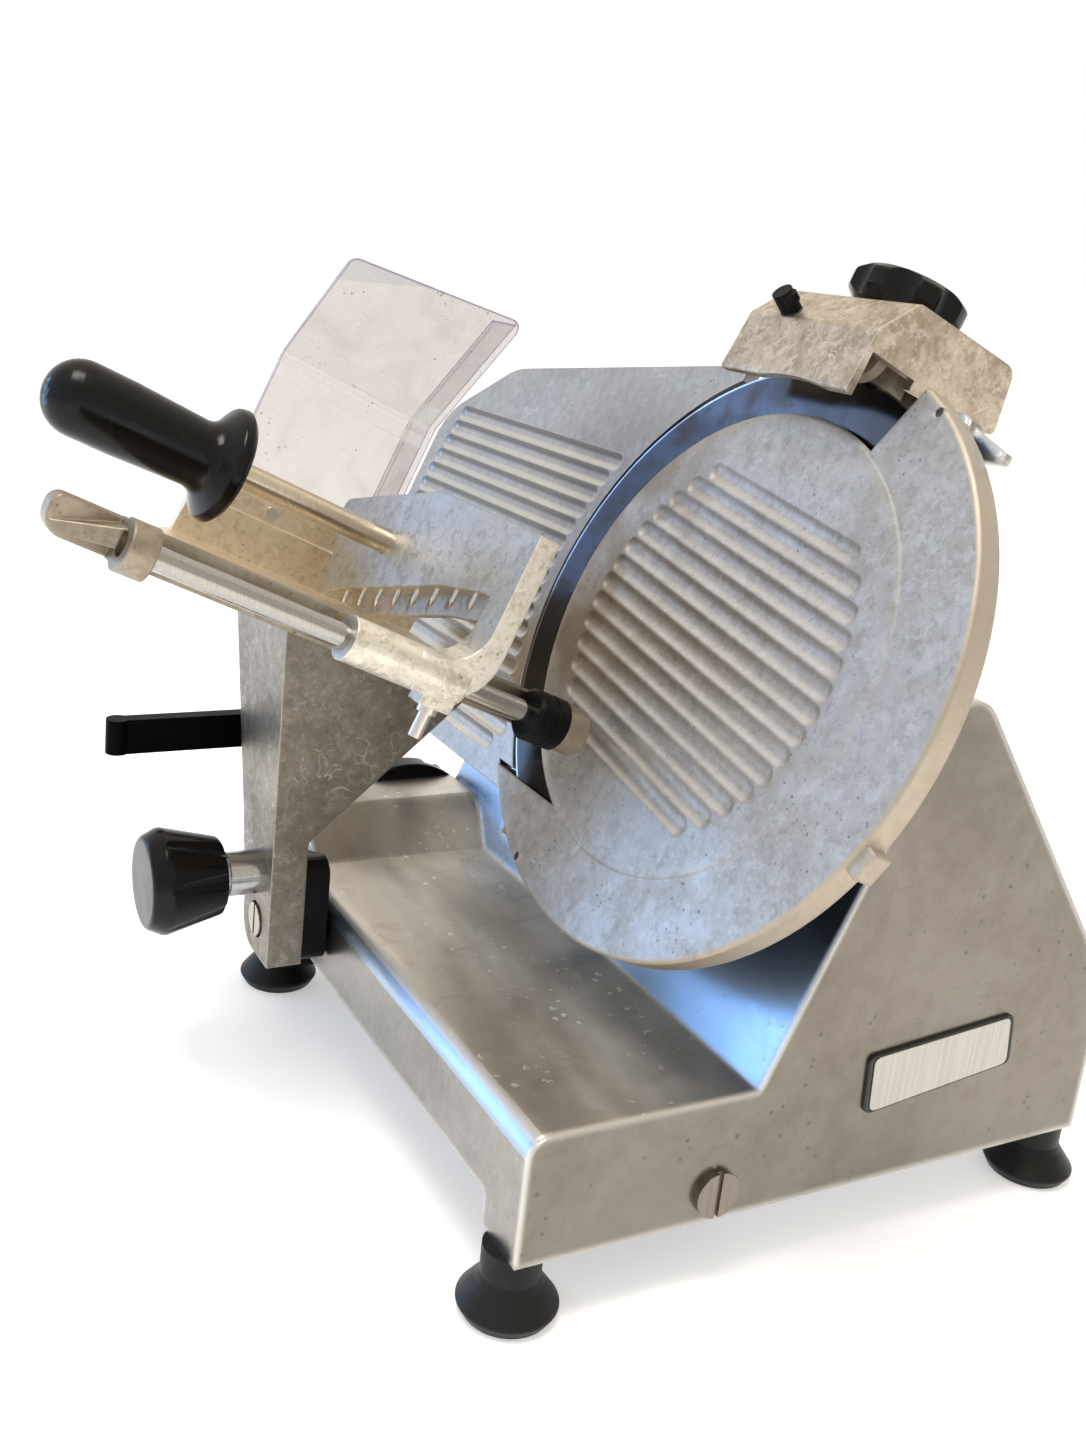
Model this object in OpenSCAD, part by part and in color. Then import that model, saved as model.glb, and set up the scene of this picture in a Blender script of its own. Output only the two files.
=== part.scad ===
// Gravity-feed electric food slicer with a tilted round blade.
// The operator stands on the -Y side. +X is the food side and -X the motor side.
// Places on the blade are given as y, u and n: along the machine, up the blade and out of it.

/* [Blade] */
// Diameter of the blade
blade_d = 250; // [240:1:254]
// Thickness of the blade at its hub
blade_t = 2.5; // [2:0.1:3]
// Tilt of the blade from the vertical, in degrees
tilt = 23; // [21:0.5:25]
// Place of the blade's centre along the base, from its food side
blade_x = -116; // [-122:1:-110]
// Place of the blade's centre from the rear face
blade_y = -95; // [-100:1:-92]
// Height of the blade's centre over the table
blade_z = 239; // [234:1:244]
// Depth that the blade's hub lies behind its edge
blade_dish = 6.5; // [6:0.1:7]

/* [Base and housing] */
// Width of the base
base_w = 290; // [284:1:300]
// Length of the base, from rear to front
base_l = 300; // [296:1:320]
// Height of the base's lower edge over the table
base_z = 29; // [25:1:32]
// Height of the deck over the table
deck_z = 84; // [80:1:88]
// Wall of the casting
wall = 5; // [4:0.1:5.5]
// Distance from the blade's plane back to the housing's inclined face
face_n = 48; // [46:1:50]
// Length of the motor housing
house_l = 205; // [200:1:215]
// Height of the housing's shoulder on the motor side
shoulder_z = 104; // [96:1:112]
// Height of the housing's ridge
ridge_z = 254; // [248:1:258]
// Radius of the drum behind the blade
drum_r = 62; // [58:0.5:66]
// Depth of the drum
drum_n = 38; // [36:0.5:42]
// Rise of the step in front of the housing over the deck
step_h = 12; // [8:0.5:16]
// Rise of the front shoulder over the deck
ramp_h = 20; // [12:1:24]
// Length of the front shoulder's flat
ramp_flat = 26; // [20:1:30]
// Length of the front shoulder's slope
ramp_run = 30; // [20:1:40]
// Fillet of the deck's edge
deck_fillet = 9; // [4:0.5:12]

/* [Feet] */
// Radius of a foot on the table
foot_r = 20.5; // [16:0.5:23]
// Radius of a foot's neck
foot_neck_r = 12; // [10:0.5:14]
// Distance of a foot's centre from the long sides of the base
foot_in_x = 7; // [6:0.5:10]
// Distance of a foot's centre from the ends of the base
foot_in_y = 14; // [12:0.5:18]
// Diameter of a foot's stud
foot_stud_d = 8; // [6:0.5:9]

/* [Carriage guide] */
// Diameter of the guide rod
guide_d = 14; // [12:0.5:14]
// Place of the guide rod across the base
guide_x = -88; // [-90:1:-84]
// Height of the guide rod
guide_z = 42; // [41:0.5:44]
// Outer diameter of a slide bush
bush_d = 18; // [17:0.5:19]
// Length of a slide bush
bush_l = 14; // [12:1:16]
// Length of the slide block
block_l = 58; // [50:1:60]
// Height of the opening under the deck's food side wall
slot_z = 44; // [43:0.5:48]

/* [Carriage] */
// Place of the carriage arm's rear face behind the rear face of the base
arm_y = -200; // [-204:1:-196]
// Outer face of the carriage arm
arm_x = 31; // [29:1:36]
// Thickness of the arm's foot
arm_t = 17; // [15:0.5:17.5]
// Width of the arm's foot
arm_w = 37; // [36:0.5:42]
// Thickness of the arm's web
web_t = 13; // [10:0.5:16]
// Height of the arm's lower end
arm_z0 = 55; // [53:0.5:58]
// Height at which the arm widens
arm_z1 = 117; // [112:1:122]
// Height of the tray's floor on the blade, u
floor_u = -64.5; // [-65.5:0.5:-64]
// Thickness of the tray's floor
floor_t = 3.5; // [3:0.1:4]
// Distance of the tray from the blade's plane
tray_n0 = 10; // [9:0.5:12]
// Length of the tray on the food rail
rail_n1 = 258; // [250:1:262]
// Length of the tray on the wall side
wall_n1 = 156; // [150:1:164]
// Outer face of the tray's wall, y
tray_y0 = -226; // [-230:1:-224]
// Thickness of the tray's wall
tray_t = 5; // [4.5:0.1:6]
// Height of the tray's wall over its floor
tray_wall_h = 33; // [30:1:35]
// Height of the rail over the tray's floor
rail_h = 12; // [10:0.5:13]
// Thickness of the rail
rail_t = 10; // [8:0.5:11]

/* [Pusher] */
// Diameter of the pusher's rod
rod_d = 10; // [9:0.1:10.2]
// Place of the pusher's rod, y
rod_y = -33; // [-34:0.5:-32]
// Place of the pusher's rod, u
rod_u = -60; // [-60.5:0.5:-59]
// Outer diameter of the pusher's sliding boss
boss_d = 19; // [18:0.1:19.4]
// Near face of the pusher's plate, n
plate_n = 70; // [69:0.5:74]
// Thickness of the pusher's plate
plate_t = 10; // [8:0.5:11]
// Length of the pusher's sliding boss
boss_l = 56; // [50:1:58]
// Number of gripping pins
pin_count = 8; // [5:1:9]
// Diameter of the handle's rod
handle_rod_d = 12; // [10:0.5:13]
// Radius of the handle's grip
grip_r = 17; // [15:0.5:19]
// Radius of the handle's flange
flange_r = 27.5; // [22:0.5:29]
// Length of the handle
grip_l = 89; // [80:1:100]
// Thickness of the clear guard
guard_t = 2.5; // [2:0.1:3]
// Height of the guard over the floor
guard_h = 170; // [160:1:176]

/* [Knobs] */
// Length of the lock knob
lock_l = 36; // [34:1:42]
// Outer radius of the lock knob
lock_r = 25; // [23:0.5:28]
// Height of the lock knob
lock_z = 97; // [94:0.5:99]
// Diameter of the lock knob's stud
lock_stud_d = 10; // [8:0.5:11]
// Diameter of the lock knob's collar
collar_d = 21; // [17:0.5:23]
// Radius of the thickness dial
dial_r = 42; // [38:0.5:43]
// Thickness of the thickness dial
dial_t = 18; // [16:0.5:22]
// Radius of the sharpener's star knob
star_r = 25.5; // [22:0.5:27]
// Height of the sharpener's star knob
star_h = 15; // [12:0.5:18]
// Diameter of a switch button
button_d = 16; // [12:0.5:18]
// Travel of a switch button
button_travel = 3; // [2:0.5:3]

/* [Gauge plate] */
// Front edge of the gauge plate, y
gauge_y0 = -320; // [-325:1:-312]
// Lower edge of the gauge plate, u
gauge_u0 = -105; // [-108:1:-100]
// Thickness of the gauge plate
gauge_t = 7.5; // [6.5:0.5:8]
// Gap between the gauge plate and the blade's edge
gauge_gap = 3.5; // [2.5:0.5:5]
// Widest slice
slice_max = 14; // [10:0.5:14]
// Number of flutes in the gauge plate
gauge_flutes = 17; // [12:1:17]
// Spacing of the gauge plate's flutes
gauge_pitch = 9.4; // [9:0.1:9.6]
// Diameter of the gauge plate's guide rods
gauge_rod_d = 12; // [10:0.5:13]

/* [Blade cover] */
// Radius of the cover's disc
cover_r = 104; // [101:0.5:106]
// Radius of the cover's crescent
crescent_r = 136.5; // [134:0.5:139]
// Thickness of the cover
cover_t = 2.4; // [2:0.1:2.6]
// Depth of the crescent's rim
rim_d = 12; // [9:0.5:13]
// Thickness of the crescent's rim
rim_t = 5.5; // [4:0.1:6]
// Number of flutes in the cover
cover_flutes = 14; // [10:1:14]
// Spacing of the cover's flutes
cover_pitch = 9.7; // [9.2:0.1:10.2]

/* [Sharpener] */
// Length of the sharpener's cover along the machine
sharp_l = 83; // [78:1:88]
// Wall of the sharpener's cover
sharp_t = 5; // [4:0.1:5.5]
// Diameter of the sharpener's post
post_d = 12; // [10:0.5:13]
// Travel of the sharpener on its post
lift_max = 30; // [20:1:30]
// Diameter of the sharpener's button
sharp_button_d = 9; // [8:0.5:9.5]

/* [Drive] */
// Radius of the blade's pulley
pulley_r = 42; // [36:0.5:44]
// Radius of the motor's pulley
pinion_r = 15; // [12:0.5:16]
// Width of the belt
belt_w = 12; // [10:0.5:13]
// Thickness of the belt
belt_t = 2.5; // [2:0.1:3]
// Distance between the two pulleys
belt_c = 95; // [92:1:97]
// Radius of the motor
motor_r = 40; // [36:0.5:42]
// Length of the motor
motor_l = 96; // [86:1:100]
// Diameter of the blade's shaft
shaft_d = 20; // [17:0.5:20]
// Outer diameter of a shaft bearing
bearing_d = 40; // [36:0.5:42]
// Width of a shaft bearing
bearing_w = 12; // [10:0.5:13]

/* [Hidden] */
$fn = 96;

// Running fit of a shaft in its bore, on the radius
fit = 0.05;
// Gap between pieces that move past each other
run_gap = 0.3;
// Overreach of a cut past the face that it opens
cut = 1;

blade_r = blade_d / 2;
rear_y = -blade_y;
sin_t = sin(tilt);
cos_t = cos(tilt);

// Height of the food floor's underside
under_u = floor_u - floor_t;
rail_u1 = floor_u + rail_h;
rod_bore_d = rod_d + 2 * fit;
rail_y1 = rod_y - boss_d / 2 - 2;
rail_y0 = rail_y1 - rail_t;
rail_round = 8;
upper_boss_n = [221, 232];
lower_boss_n = [16, 27];
bumper_l = 16;
bumper_d = 23;

dial_x = guide_x + 6;
dial_z = guide_z + bush_d / 2 + 19;
cam_pin_d = 5.4;
cam_r0 = 10;
dial_turn = 300;
dial_shaft_d = 10;
groove_d = 5;
groove_w = cam_pin_d + 2 * run_gap;
front_y = -base_l;

pillar_l = 64;
pillar_y = [front_y - blade_y, front_y + pillar_l - blade_y];
pillar_n = [-face_n - 60, -face_n];
pillar_u1 = -22;
gauge_rod_y = front_y + pillar_l / 2 - blade_y;
gauge_rod_u = [-45, -85];
gauge_face_n = -1;
flute_depth = 1.6;
gauge_rod_r = gauge_rod_d / 2;
gauge_back_n = gauge_face_n - gauge_t;
gauge_boss_t = 8;
carrier_n = [-face_n - 34, -face_n - 14];

cover_n = 3.2;
cover_step = 0.7;
cover_pad_t = 1.2;
cover_flute_turn = -8.5;
crescent_a0 = -146;
crescent_a1 = 66;
crescent_end_u = -95;
cover_screw_r = crescent_r - rim_t / 2;
cover_posts = [60, -112];
horn_n = [-19, -14];

bearing_n = [-30, -60];
boss_end_n = -15;
pulley_n = -78;
pulley_w = 16;
hub_n = -blade_dish - blade_t;
hub_flange_t = 3.5;
hub_hole_r = 21;
screw_circle_r = 26;

mount_n = pulley_n - 2;
mount_t = 4;
mount_half = 52;
mount_post = 45;
motor_n = mount_n - mount_t;

post_y = -5;
post_n = -24;
star_y = -4;
star_n = -19;
sharp_y1 = 35;
sharp_u = 157;
sharp_bracket_u = 108;
star_gap = 1;
button_y = -25.75;

lower_boss_wall = (bumper_d - rod_d) / 2;
knob_axis_y = arm_y - arm_w / 2;
lever_z = 149;
plug_t = 3;
gland_l = 14;

// Shift that puts the origin at the bottom centre of the whole machine
food_end_x = bx(rail_n1 - rail_round, under_u + rail_round) + rail_round;
origin_shift = [
  (base_w + gland_l - food_end_x) / 2,
  -(blade_y + gauge_y0 + blade_y + crescent_r) / 2,
  0
];

// Machine place of a point on the blade
function bx(n, u) = blade_x + n * cos_t - u * sin_t;
function bz(n, u) = blade_z + n * sin_t + u * cos_t;

function unit(v) = v / norm(v);
function left_of(v) = [-v.y, v.x];

// Arc that rounds corner b between its neighbours a and c
function corner_arc(a, b, c, r, steps) =
  let (
    to_a = unit(a - b),
    to_c = unit(c - b),
    half = acos(to_a * to_c) / 2,
    mid = b + unit(to_a + to_c) * r / sin(half),
    from = b + to_a * r / tan(half) - mid,
    to = b + to_c * r / tan(half) - mid,
    start = atan2(from.y, from.x),
    sweep = (atan2(to.y, to.x) - start + 540) % 360 - 180
  )
  [for (i = [0:steps]) mid + r * [cos(start + sweep * i / steps), sin(start + sweep * i / steps)]];

// Outline with rounded corners, one radius per corner
function rounded(pts, radii, steps = 6) =
  let (count = len(pts))
  [for (i = [0:count - 1])
    each (radii[i] > 0
      ? corner_arc(pts[(i + count - 1) % count], pts[i], pts[(i + 1) % count], radii[i], steps)
      : [pts[i]])];

// Outline moved inwards, for corners given counter-clockwise
function inset(pts, d) =
  let (count = len(pts))
  [for (i = [0:count - 1])
    let (
      before = left_of(unit(pts[i] - pts[(i + count - 1) % count])),
      after = left_of(unit(pts[(i + 1) % count] - pts[i]))
    )
    pts[i] + d * (before + after) / (1 + before * after)];

module machine() {
  translate(origin_shift) children();
}

// Blade's own axes: x runs along the machine, y up the blade and z out of it
module on_blade() {
  machine() translate([blade_x, blade_y, blade_z])
    rotate([0, 90 - tilt, 0]) rotate([0, 0, 90]) children();
}

// Outline of x and z, drawn out from y1 towards the front
module across(y1, length) {
  translate([0, y1, 0]) rotate([90, 0, 0]) linear_extrude(length) children();
}

// Outline of n and u on the blade's axes, drawn out from y1 towards the front
module along_n(y1, length) {
  translate([y1, 0, 0]) rotate([0, -90, 0]) linear_extrude(length) children();
}

// Outline of y and n on the blade's axes, drawn out downwards from u1
module down_u(u1, depth) {
  translate([0, u1, 0]) rotate([90, 0, 0]) linear_extrude(depth) children();
}

module peg(n0, n1, r) {
  translate([0, 0, n0]) cylinder(h = n1 - n0, r = r);
}

// Housing outline in x and z, counter-clockwise
deck_x = bx(-face_n, (deck_z - blade_z + face_n * sin_t) / cos_t);
ridge_x = bx(-face_n, (ridge_z - blade_z + face_n * sin_t) / cos_t);
house_outline = [
  [-base_w, base_z],
  [deck_x, base_z],
  [deck_x, deck_z],
  [ridge_x, ridge_z],
  [-base_w, shoulder_z]
];
ridge_round = 14;
shoulder_round = 26;
step_outline = [
  [-base_w, deck_z - wall],
  [deck_x, deck_z - wall],
  [deck_x, deck_z],
  [deck_x - step_h * sin_t / cos_t, deck_z + step_h],
  [-base_w, deck_z + step_h]
];

module base_outside() {
  across(0, base_l)
    polygon(rounded(
      [[-base_w, base_z], [0, base_z], [0, deck_z], [-base_w, deck_z]],
      [0, 0, deck_fillet, 0]));
  across(0, house_l)
    polygon(rounded(house_outline, [0, 0, 0, ridge_round, shoulder_round]));
  across(wall - house_l, base_l - house_l + wall)
    polygon(step_outline);
  ramp();
}

// Raised shoulder at the deck's front end
module ramp() {
  translate([deck_x - wall, 0, 0]) rotate([90, 0, 90]) linear_extrude(-deck_x + wall - deck_fillet)
    polygon([
      [front_y, deck_z - wall],
      [front_y + ramp_flat + ramp_run, deck_z - wall],
      [front_y + ramp_flat + ramp_run, deck_z],
      [front_y + ramp_flat, deck_z + ramp_h],
      [front_y, deck_z + ramp_h]
    ]);
}

module base_inside() {
  translate([-base_w + wall, front_y + wall, base_z - cut])
    cube([base_w - 2 * wall, base_l - 2 * wall, deck_z - base_z - wall + cut]);
  translate([-base_w + wall, front_y + wall, base_z])
    cube([base_w + deck_x - 4 * wall, base_l - house_l, deck_z + step_h - base_z - wall]);
  across(-wall, house_l - 2 * wall)
    polygon(rounded(inset(house_outline, wall), [0, 0, 0, ridge_round - wall, shoulder_round - wall]));
}

// Opening under the food side wall, for the carriage
module carriage_slot() {
  translate([-wall - cut, front_y + 2 * foot_in_y, base_z - cut])
    cube([wall + 2 * cut, base_l - 4 * foot_in_y, slot_z - base_z + cut]);
}

foot_places = [
  [-foot_in_x, -foot_in_y],
  [-base_w + foot_in_x, -foot_in_y],
  [-base_w + foot_in_x, front_y + foot_in_y],
  [-foot_in_x, front_y + foot_in_y]
];
foot_boss_h = 22;
foot_boss_r = 12;
foot_stud_up = 12;

module foot_bosses() {
  intersection() {
    for (p = foot_places)
      translate([p.x, p.y, base_z]) cylinder(h = foot_boss_h, r = foot_boss_r);
    translate([-base_w, front_y, base_z]) cube([base_w, base_l, foot_boss_h]);
  }
}

module foot_bores() {
  for (p = foot_places)
    translate([p.x, p.y, base_z - cut])
      cylinder(h = foot_stud_up + 2 * cut, d = foot_stud_d + 2 * fit);
}

plate_x1 = guide_x - bush_d / 2 - 14;
plate_t_bottom = 1.5;
plate_screw_in = 20;
plate_screw_places = [
  [-base_w + wall + 8, -base_l / 2],
  [-base_w / 2 - 50, -wall - 8],
  [-base_w / 2 - 50, front_y + wall + 8]
];

// Bosses that the bottom cover screws into
module plate_bosses() {
  for (p = plate_screw_places)
    translate([p.x, p.y, base_z + plate_t_bottom])
      cylinder(h = plate_screw_in, d = 2 * (wall + 4));
}

module plate_screw_bores() {
  for (p = plate_screw_places)
    translate([p.x, p.y, base_z]) cylinder(h = plate_screw_in - 4, d = 4 + 2 * fit);
}

guide_wall = 7;
guide_l = base_l - 3;
plug_d = 20;

module guide_bores() {
  translate([guide_x, cut, guide_z]) rotate([90, 0, 0])
    cylinder(h = guide_l + cut, d = guide_d + 2 * fit);
}

// Bosses inside the end walls that the guide rod sits in
module guide_bosses() {
  for (y1 = [0, front_y + wall + guide_wall])
    translate([guide_x, y1, guide_z]) rotate([90, 0, 0])
      cylinder(h = wall + guide_wall, d = guide_d + 12);
}

module drum_outside() {
  on_blade() peg(-face_n - drum_n, -face_n, drum_r);
}

module drum_inside() {
  on_blade() peg(-face_n - drum_n + wall, -face_n - wall, drum_r - wall);
}

// Boss that carries the blade's shaft
module shaft_boss() {
  on_blade() {
    translate([0, 0, -face_n]) cylinder(h = face_n + boss_end_n, r1 = 36, r2 = 27);
    peg(bearing_n[1], -face_n, bearing_d / 2 + 6);
  }
}

module shaft_bore() {
  on_blade() {
    peg(bearing_n[1] - cut, boss_end_n + cut, bearing_d / 2 - 4);
    for (n = bearing_n)
      peg(n, n + bearing_w, bearing_d / 2 + fit);
    peg(bearing_n[0], boss_end_n + cut, bearing_d / 2 + fit);
    peg(bearing_n[1] - cut, bearing_n[1] + bearing_w, bearing_d / 2 + fit);
  }
}

cover_back_n = cover_n - rim_d;
cover_post_r = 5;
cover_screw_d = 4;
cover_screw_in = 10;

// Posts behind the cover's rim, one on the inclined face and one on the horn
module cover_post_solids() {
  on_blade() {
    rotate(cover_posts[0]) translate([cover_screw_r, 0, 0]) peg(horn_n[0], cover_back_n, cover_post_r);
    rotate(cover_posts[1]) translate([cover_screw_r, 0, 0])
      peg(-face_n - wall / 2, cover_back_n, cover_post_r);
    translate([0, 0, horn_n[0]]) linear_extrude(horn_n[1] - horn_n[0])
      polygon(rounded([
        [bracket_y[1] - 2, sharp_bracket_u - 26],
        [56, 104],
        [90, 107],
        [90, 111],
        [58, 122],
        [bracket_y[1] + 16, sharp_bracket_u],
        [bracket_y[1] - 2, sharp_bracket_u]
      ], [0, 20, 1.5, 1.5, 10, 6, 0]));
  }
}

module cover_post_bores() {
  for (a = cover_posts)
    on_blade() rotate(a) translate([cover_screw_r, 0, 0])
      peg(cover_back_n - cover_screw_in, cover_back_n + cut, cover_screw_d / 2 + fit);
}

deflector_n = -17;
deflector_t = 1.5;
deflector_posts = [[-80, -60], [-80, 10]];

module deflector_post_solids() {
  on_blade()
    for (p = deflector_posts)
      translate([p.x, p.y, 0]) peg(-face_n - wall / 2, deflector_n, 4);
}

bracket_n = [-face_n - 14, -13];
bracket_y = [post_y - 17, post_y + 17];
bracket_u0 = drum_r - 10;

// Cast arm over the drum that holds the sharpener's post
module sharpener_bracket() {
  on_blade() along_n(bracket_y[1], bracket_y[1] - bracket_y[0])
    polygon(rounded([
      [bracket_n[0], bracket_u0],
      [-face_n, bracket_u0],
      [-face_n, bracket_u0 + 12],
      [bracket_n[1], bracket_u0 + 34],
      [bracket_n[1], sharp_bracket_u],
      [bracket_n[0] + 18, sharp_bracket_u]
    ], [0, 0, 0, 4, 0, 0]));
}

post_seat = 26;

module post_bore() {
  on_blade() translate([post_y, sharp_bracket_u + cut, post_n]) rotate([90, 0, 0])
    cylinder(h = post_seat + cut, d = post_d + 2 * fit);
}

pillar_wall = 12;

// Hollow pillar in front of the housing, behind the gauge plate
module pillar_outside() {
  intersection() {
    on_blade() along_n(pillar_y[1], pillar_y[1] - pillar_y[0])
      polygon(rounded([
        [pillar_n[0], -200],
        [pillar_n[1], -200],
        [pillar_n[1], pillar_u1],
        [pillar_n[0], pillar_u1]
      ], [0, 0, 8, 14]));
    machine() translate([-base_w, front_y, deck_z - wall]) cube([base_w, base_l, 200]);
  }
}

module pillar_inside() {
  intersection() {
    on_blade() along_n(pillar_y[1] - wall, pillar_y[1] - pillar_y[0] - 2 * wall - cut)
      polygon([
        [pillar_n[0] + wall, -200],
        [pillar_n[1] - pillar_wall, -200],
        [pillar_n[1] - pillar_wall, pillar_u1 - wall],
        [pillar_n[0] + wall, pillar_u1 - wall]
      ]);
    machine() translate([-base_w, front_y, deck_z - wall - cut]) cube([base_w, base_l, 200]);
  }
}

module gauge_bores() {
  on_blade()
    for (u = gauge_rod_u)
      translate([gauge_rod_y, u, 0])
        peg(-face_n - pillar_wall - cut, -face_n + cut, gauge_rod_d / 2 + fit);
}

switch_x = -232;
switch_z = 62;
switch_gap = 34;
switch_plate_t = 3;
stem_d = 9;
gland_y = -58;
gland_z = 60;
gland_d = 16;

module front_holes() {
  translate([dial_x, front_y + wall + cut, dial_z]) rotate([90, 0, 0])
    cylinder(h = wall + 2 * cut, d = dial_shaft_d + 2 * fit);
  translate([dial_x, front_y + wall + cut, dial_z]) rotate([90, 0, 0]) rotate(180 + tilt)
    linear_extrude(wall + 2 * cut)
      polygon(rounded([
        [cam_r0 - groove_w / 2, -groove_w / 2],
        [cam_r0 + slice_max + groove_w / 2, -groove_w / 2],
        [cam_r0 + slice_max + groove_w / 2, groove_w / 2],
        [cam_r0 - groove_w / 2, groove_w / 2]
      ], [2.4, 2.4, 2.4, 2.4]));
  for (side = [-1, 1])
    translate([switch_x + side * switch_gap / 2, front_y + wall + cut, switch_z]) rotate([90, 0, 0])
      cylinder(h = wall + 2 * cut, d = stem_d + 2 * run_gap);
  translate([-base_w - cut, gland_y, gland_z]) rotate([0, 90, 0])
    cylinder(h = wall + 2 * cut, d = gland_d + 2 * fit);
}

module body() {
  color([0.72, 0.71, 0.68]) difference() {
    union() {
      difference() {
        union() {
          machine() base_outside();
          drum_outside();
          pillar_outside();
        }
        machine() base_inside();
        drum_inside();
        pillar_inside();
      }
      machine() {
        foot_bosses();
        plate_bosses();
        guide_bosses();
      }
      shaft_boss();
      cover_post_solids();
      deflector_post_solids();
      sharpener_bracket();
    }
    machine() {
      carriage_slot();
      foot_bores();
      plate_screw_bores();
      guide_bores();
      front_holes();
    }
    shaft_bore();
    cover_post_bores();
    post_bore();
    gauge_bores();
  }
}

module bottom_cover() {
  edge = wall + run_gap;
  color([0.6, 0.6, 0.62]) machine() difference() {
    translate([-base_w + edge, front_y + edge, base_z])
      cube([plate_x1 + base_w - edge, base_l - 2 * edge, plate_t_bottom]);
    for (p = plate_screw_places)
      translate([p.x, p.y, base_z - cut]) cylinder(h = plate_t_bottom + 2 * cut, d = 4 + 2 * fit);
    for (p = foot_places)
      translate([p.x, p.y, base_z - cut])
        cylinder(h = plate_t_bottom + 2 * cut, r = foot_boss_r + run_gap);
  }
}

module cover_plate_screws() {
  color([0.75, 0.75, 0.77]) machine()
    for (p = plate_screw_places)
      translate([p.x, p.y, base_z]) {
        translate([0, 0, -2]) cylinder(h = 2, d = 8);
        cylinder(h = plate_screw_in - 6, d = 4);
      }
}

foot_lip = 5;
foot_flare = 14;

// Rubber foot: a neck that flares to a wide rim
module foot(p) {
  color([0.07, 0.07, 0.08]) machine() translate([p.x, p.y, 0]) difference() {
    rotate_extrude()
      polygon(rounded([
        [0, 0],
        [foot_r - 3, 0],
        [foot_r, foot_lip],
        [foot_neck_r + 1.5, foot_flare],
        [foot_neck_r, foot_flare + 3],
        [foot_neck_r, base_z],
        [0, base_z]
      ], [0, 1, 1.5, 0, 0, 0, 0]));
    translate([0, 0, foot_lip]) cylinder(h = base_z, d = foot_stud_d + 2 * fit);
  }
}

module foot_1() {
  foot(foot_places[0]);
}

module foot_2() {
  foot(foot_places[1]);
}

module foot_3() {
  foot(foot_places[2]);
}

module foot_4() {
  foot(foot_places[3]);
}

module foot_studs() {
  color([0.7, 0.7, 0.72]) machine()
    for (p = foot_places)
      translate([p.x, p.y, foot_lip]) cylinder(h = base_z - foot_lip + foot_stud_up, d = foot_stud_d);
}

module guide_rod() {
  color([0.8, 0.8, 0.82]) machine()
    translate([guide_x, 0, guide_z]) rotate([90, 0, 0]) cylinder(h = guide_l, d = guide_d);
}

// Slotted plug over the guide rod's bore
module guide_plug() {
  color([0.75, 0.74, 0.72]) machine() translate([guide_x, 0, guide_z]) rotate([-90, 0, 0]) difference() {
    cylinder(h = plug_t, d = plug_d);
    translate([-1, -plug_d, plug_t - 1.6]) cube([2, 2 * plug_d, 3]);
  }
}

block_w = bush_d + 14;
block_park = 10;
tongue_w = 28;
block_y1 = front_y + wall + block_park + block_l;
tongue_y1 = block_y1 - block_l / 2 + tongue_w / 2;
block_z0 = base_z + 1;
arm_gap_x = 2;
tongue_z1 = slot_z - 2;

// Black slide: block on the guide rod, tongue under the wall and the plate beside it
module slide_block() {
  color([0.09, 0.09, 0.1]) machine() difference() {
    union() {
      translate([guide_x - block_w / 2, block_y1 - block_l, block_z0])
        cube([block_w, block_l, guide_z + bush_d / 2 + 3 - block_z0]);
      translate([guide_x, tongue_y1 - tongue_w, block_z0])
        cube([arm_x - arm_t - guide_x, tongue_w, tongue_z1 - block_z0]);
      translate([arm_gap_x, 0, 0]) rotate([90, 0, 90]) linear_extrude(arm_x - arm_t - arm_gap_x)
        polygon(rounded([
          [tongue_y1 - tongue_w, block_z0],
          [tongue_y1, block_z0],
          [tongue_y1 + 3, arm_z0],
          [arm_y, arm_z0],
          [arm_y, arm_z1 - 8],
          [tongue_y1 - tongue_w, arm_z1 - 30]
        ], [0, 0, 0, 6, 8, 8]));
    }
    translate([guide_x, block_y1 + cut, guide_z]) rotate([90, 0, 0])
      cylinder(h = block_l + 2 * cut, d = guide_d + 2);
    for (y1 = [block_y1 + cut, block_y1 - block_l + bush_l])
      translate([guide_x, y1, guide_z]) rotate([90, 0, 0])
        cylinder(h = bush_l + cut, d = bush_d + 2 * fit);
    translate([arm_gap_x - cut, knob_axis_y, lock_z]) rotate([0, 90, 0])
      cylinder(h = arm_x, d = lock_stud_d + 2 * fit);
  }
}

module slide_bushes() {
  color([0.72, 0.55, 0.25]) machine()
    for (y1 = [block_y1, block_y1 - block_l + bush_l])
      translate([guide_x, y1, guide_z]) rotate([90, 0, 0]) difference() {
        cylinder(h = bush_l, d = bush_d);
        translate([0, 0, -cut]) cylinder(h = bush_l + 2 * cut, d = guide_d + 2 * fit);
      }
}

arm_top_y = 70;
arm_screw_z = 72;
arm_screw_d = 8;
flange_t = 10;

// Everything over the tray floor's underside
module above_floor() {
  on_blade() translate([-600, under_u, -300]) cube([1200, 400, 900]);
}

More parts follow.
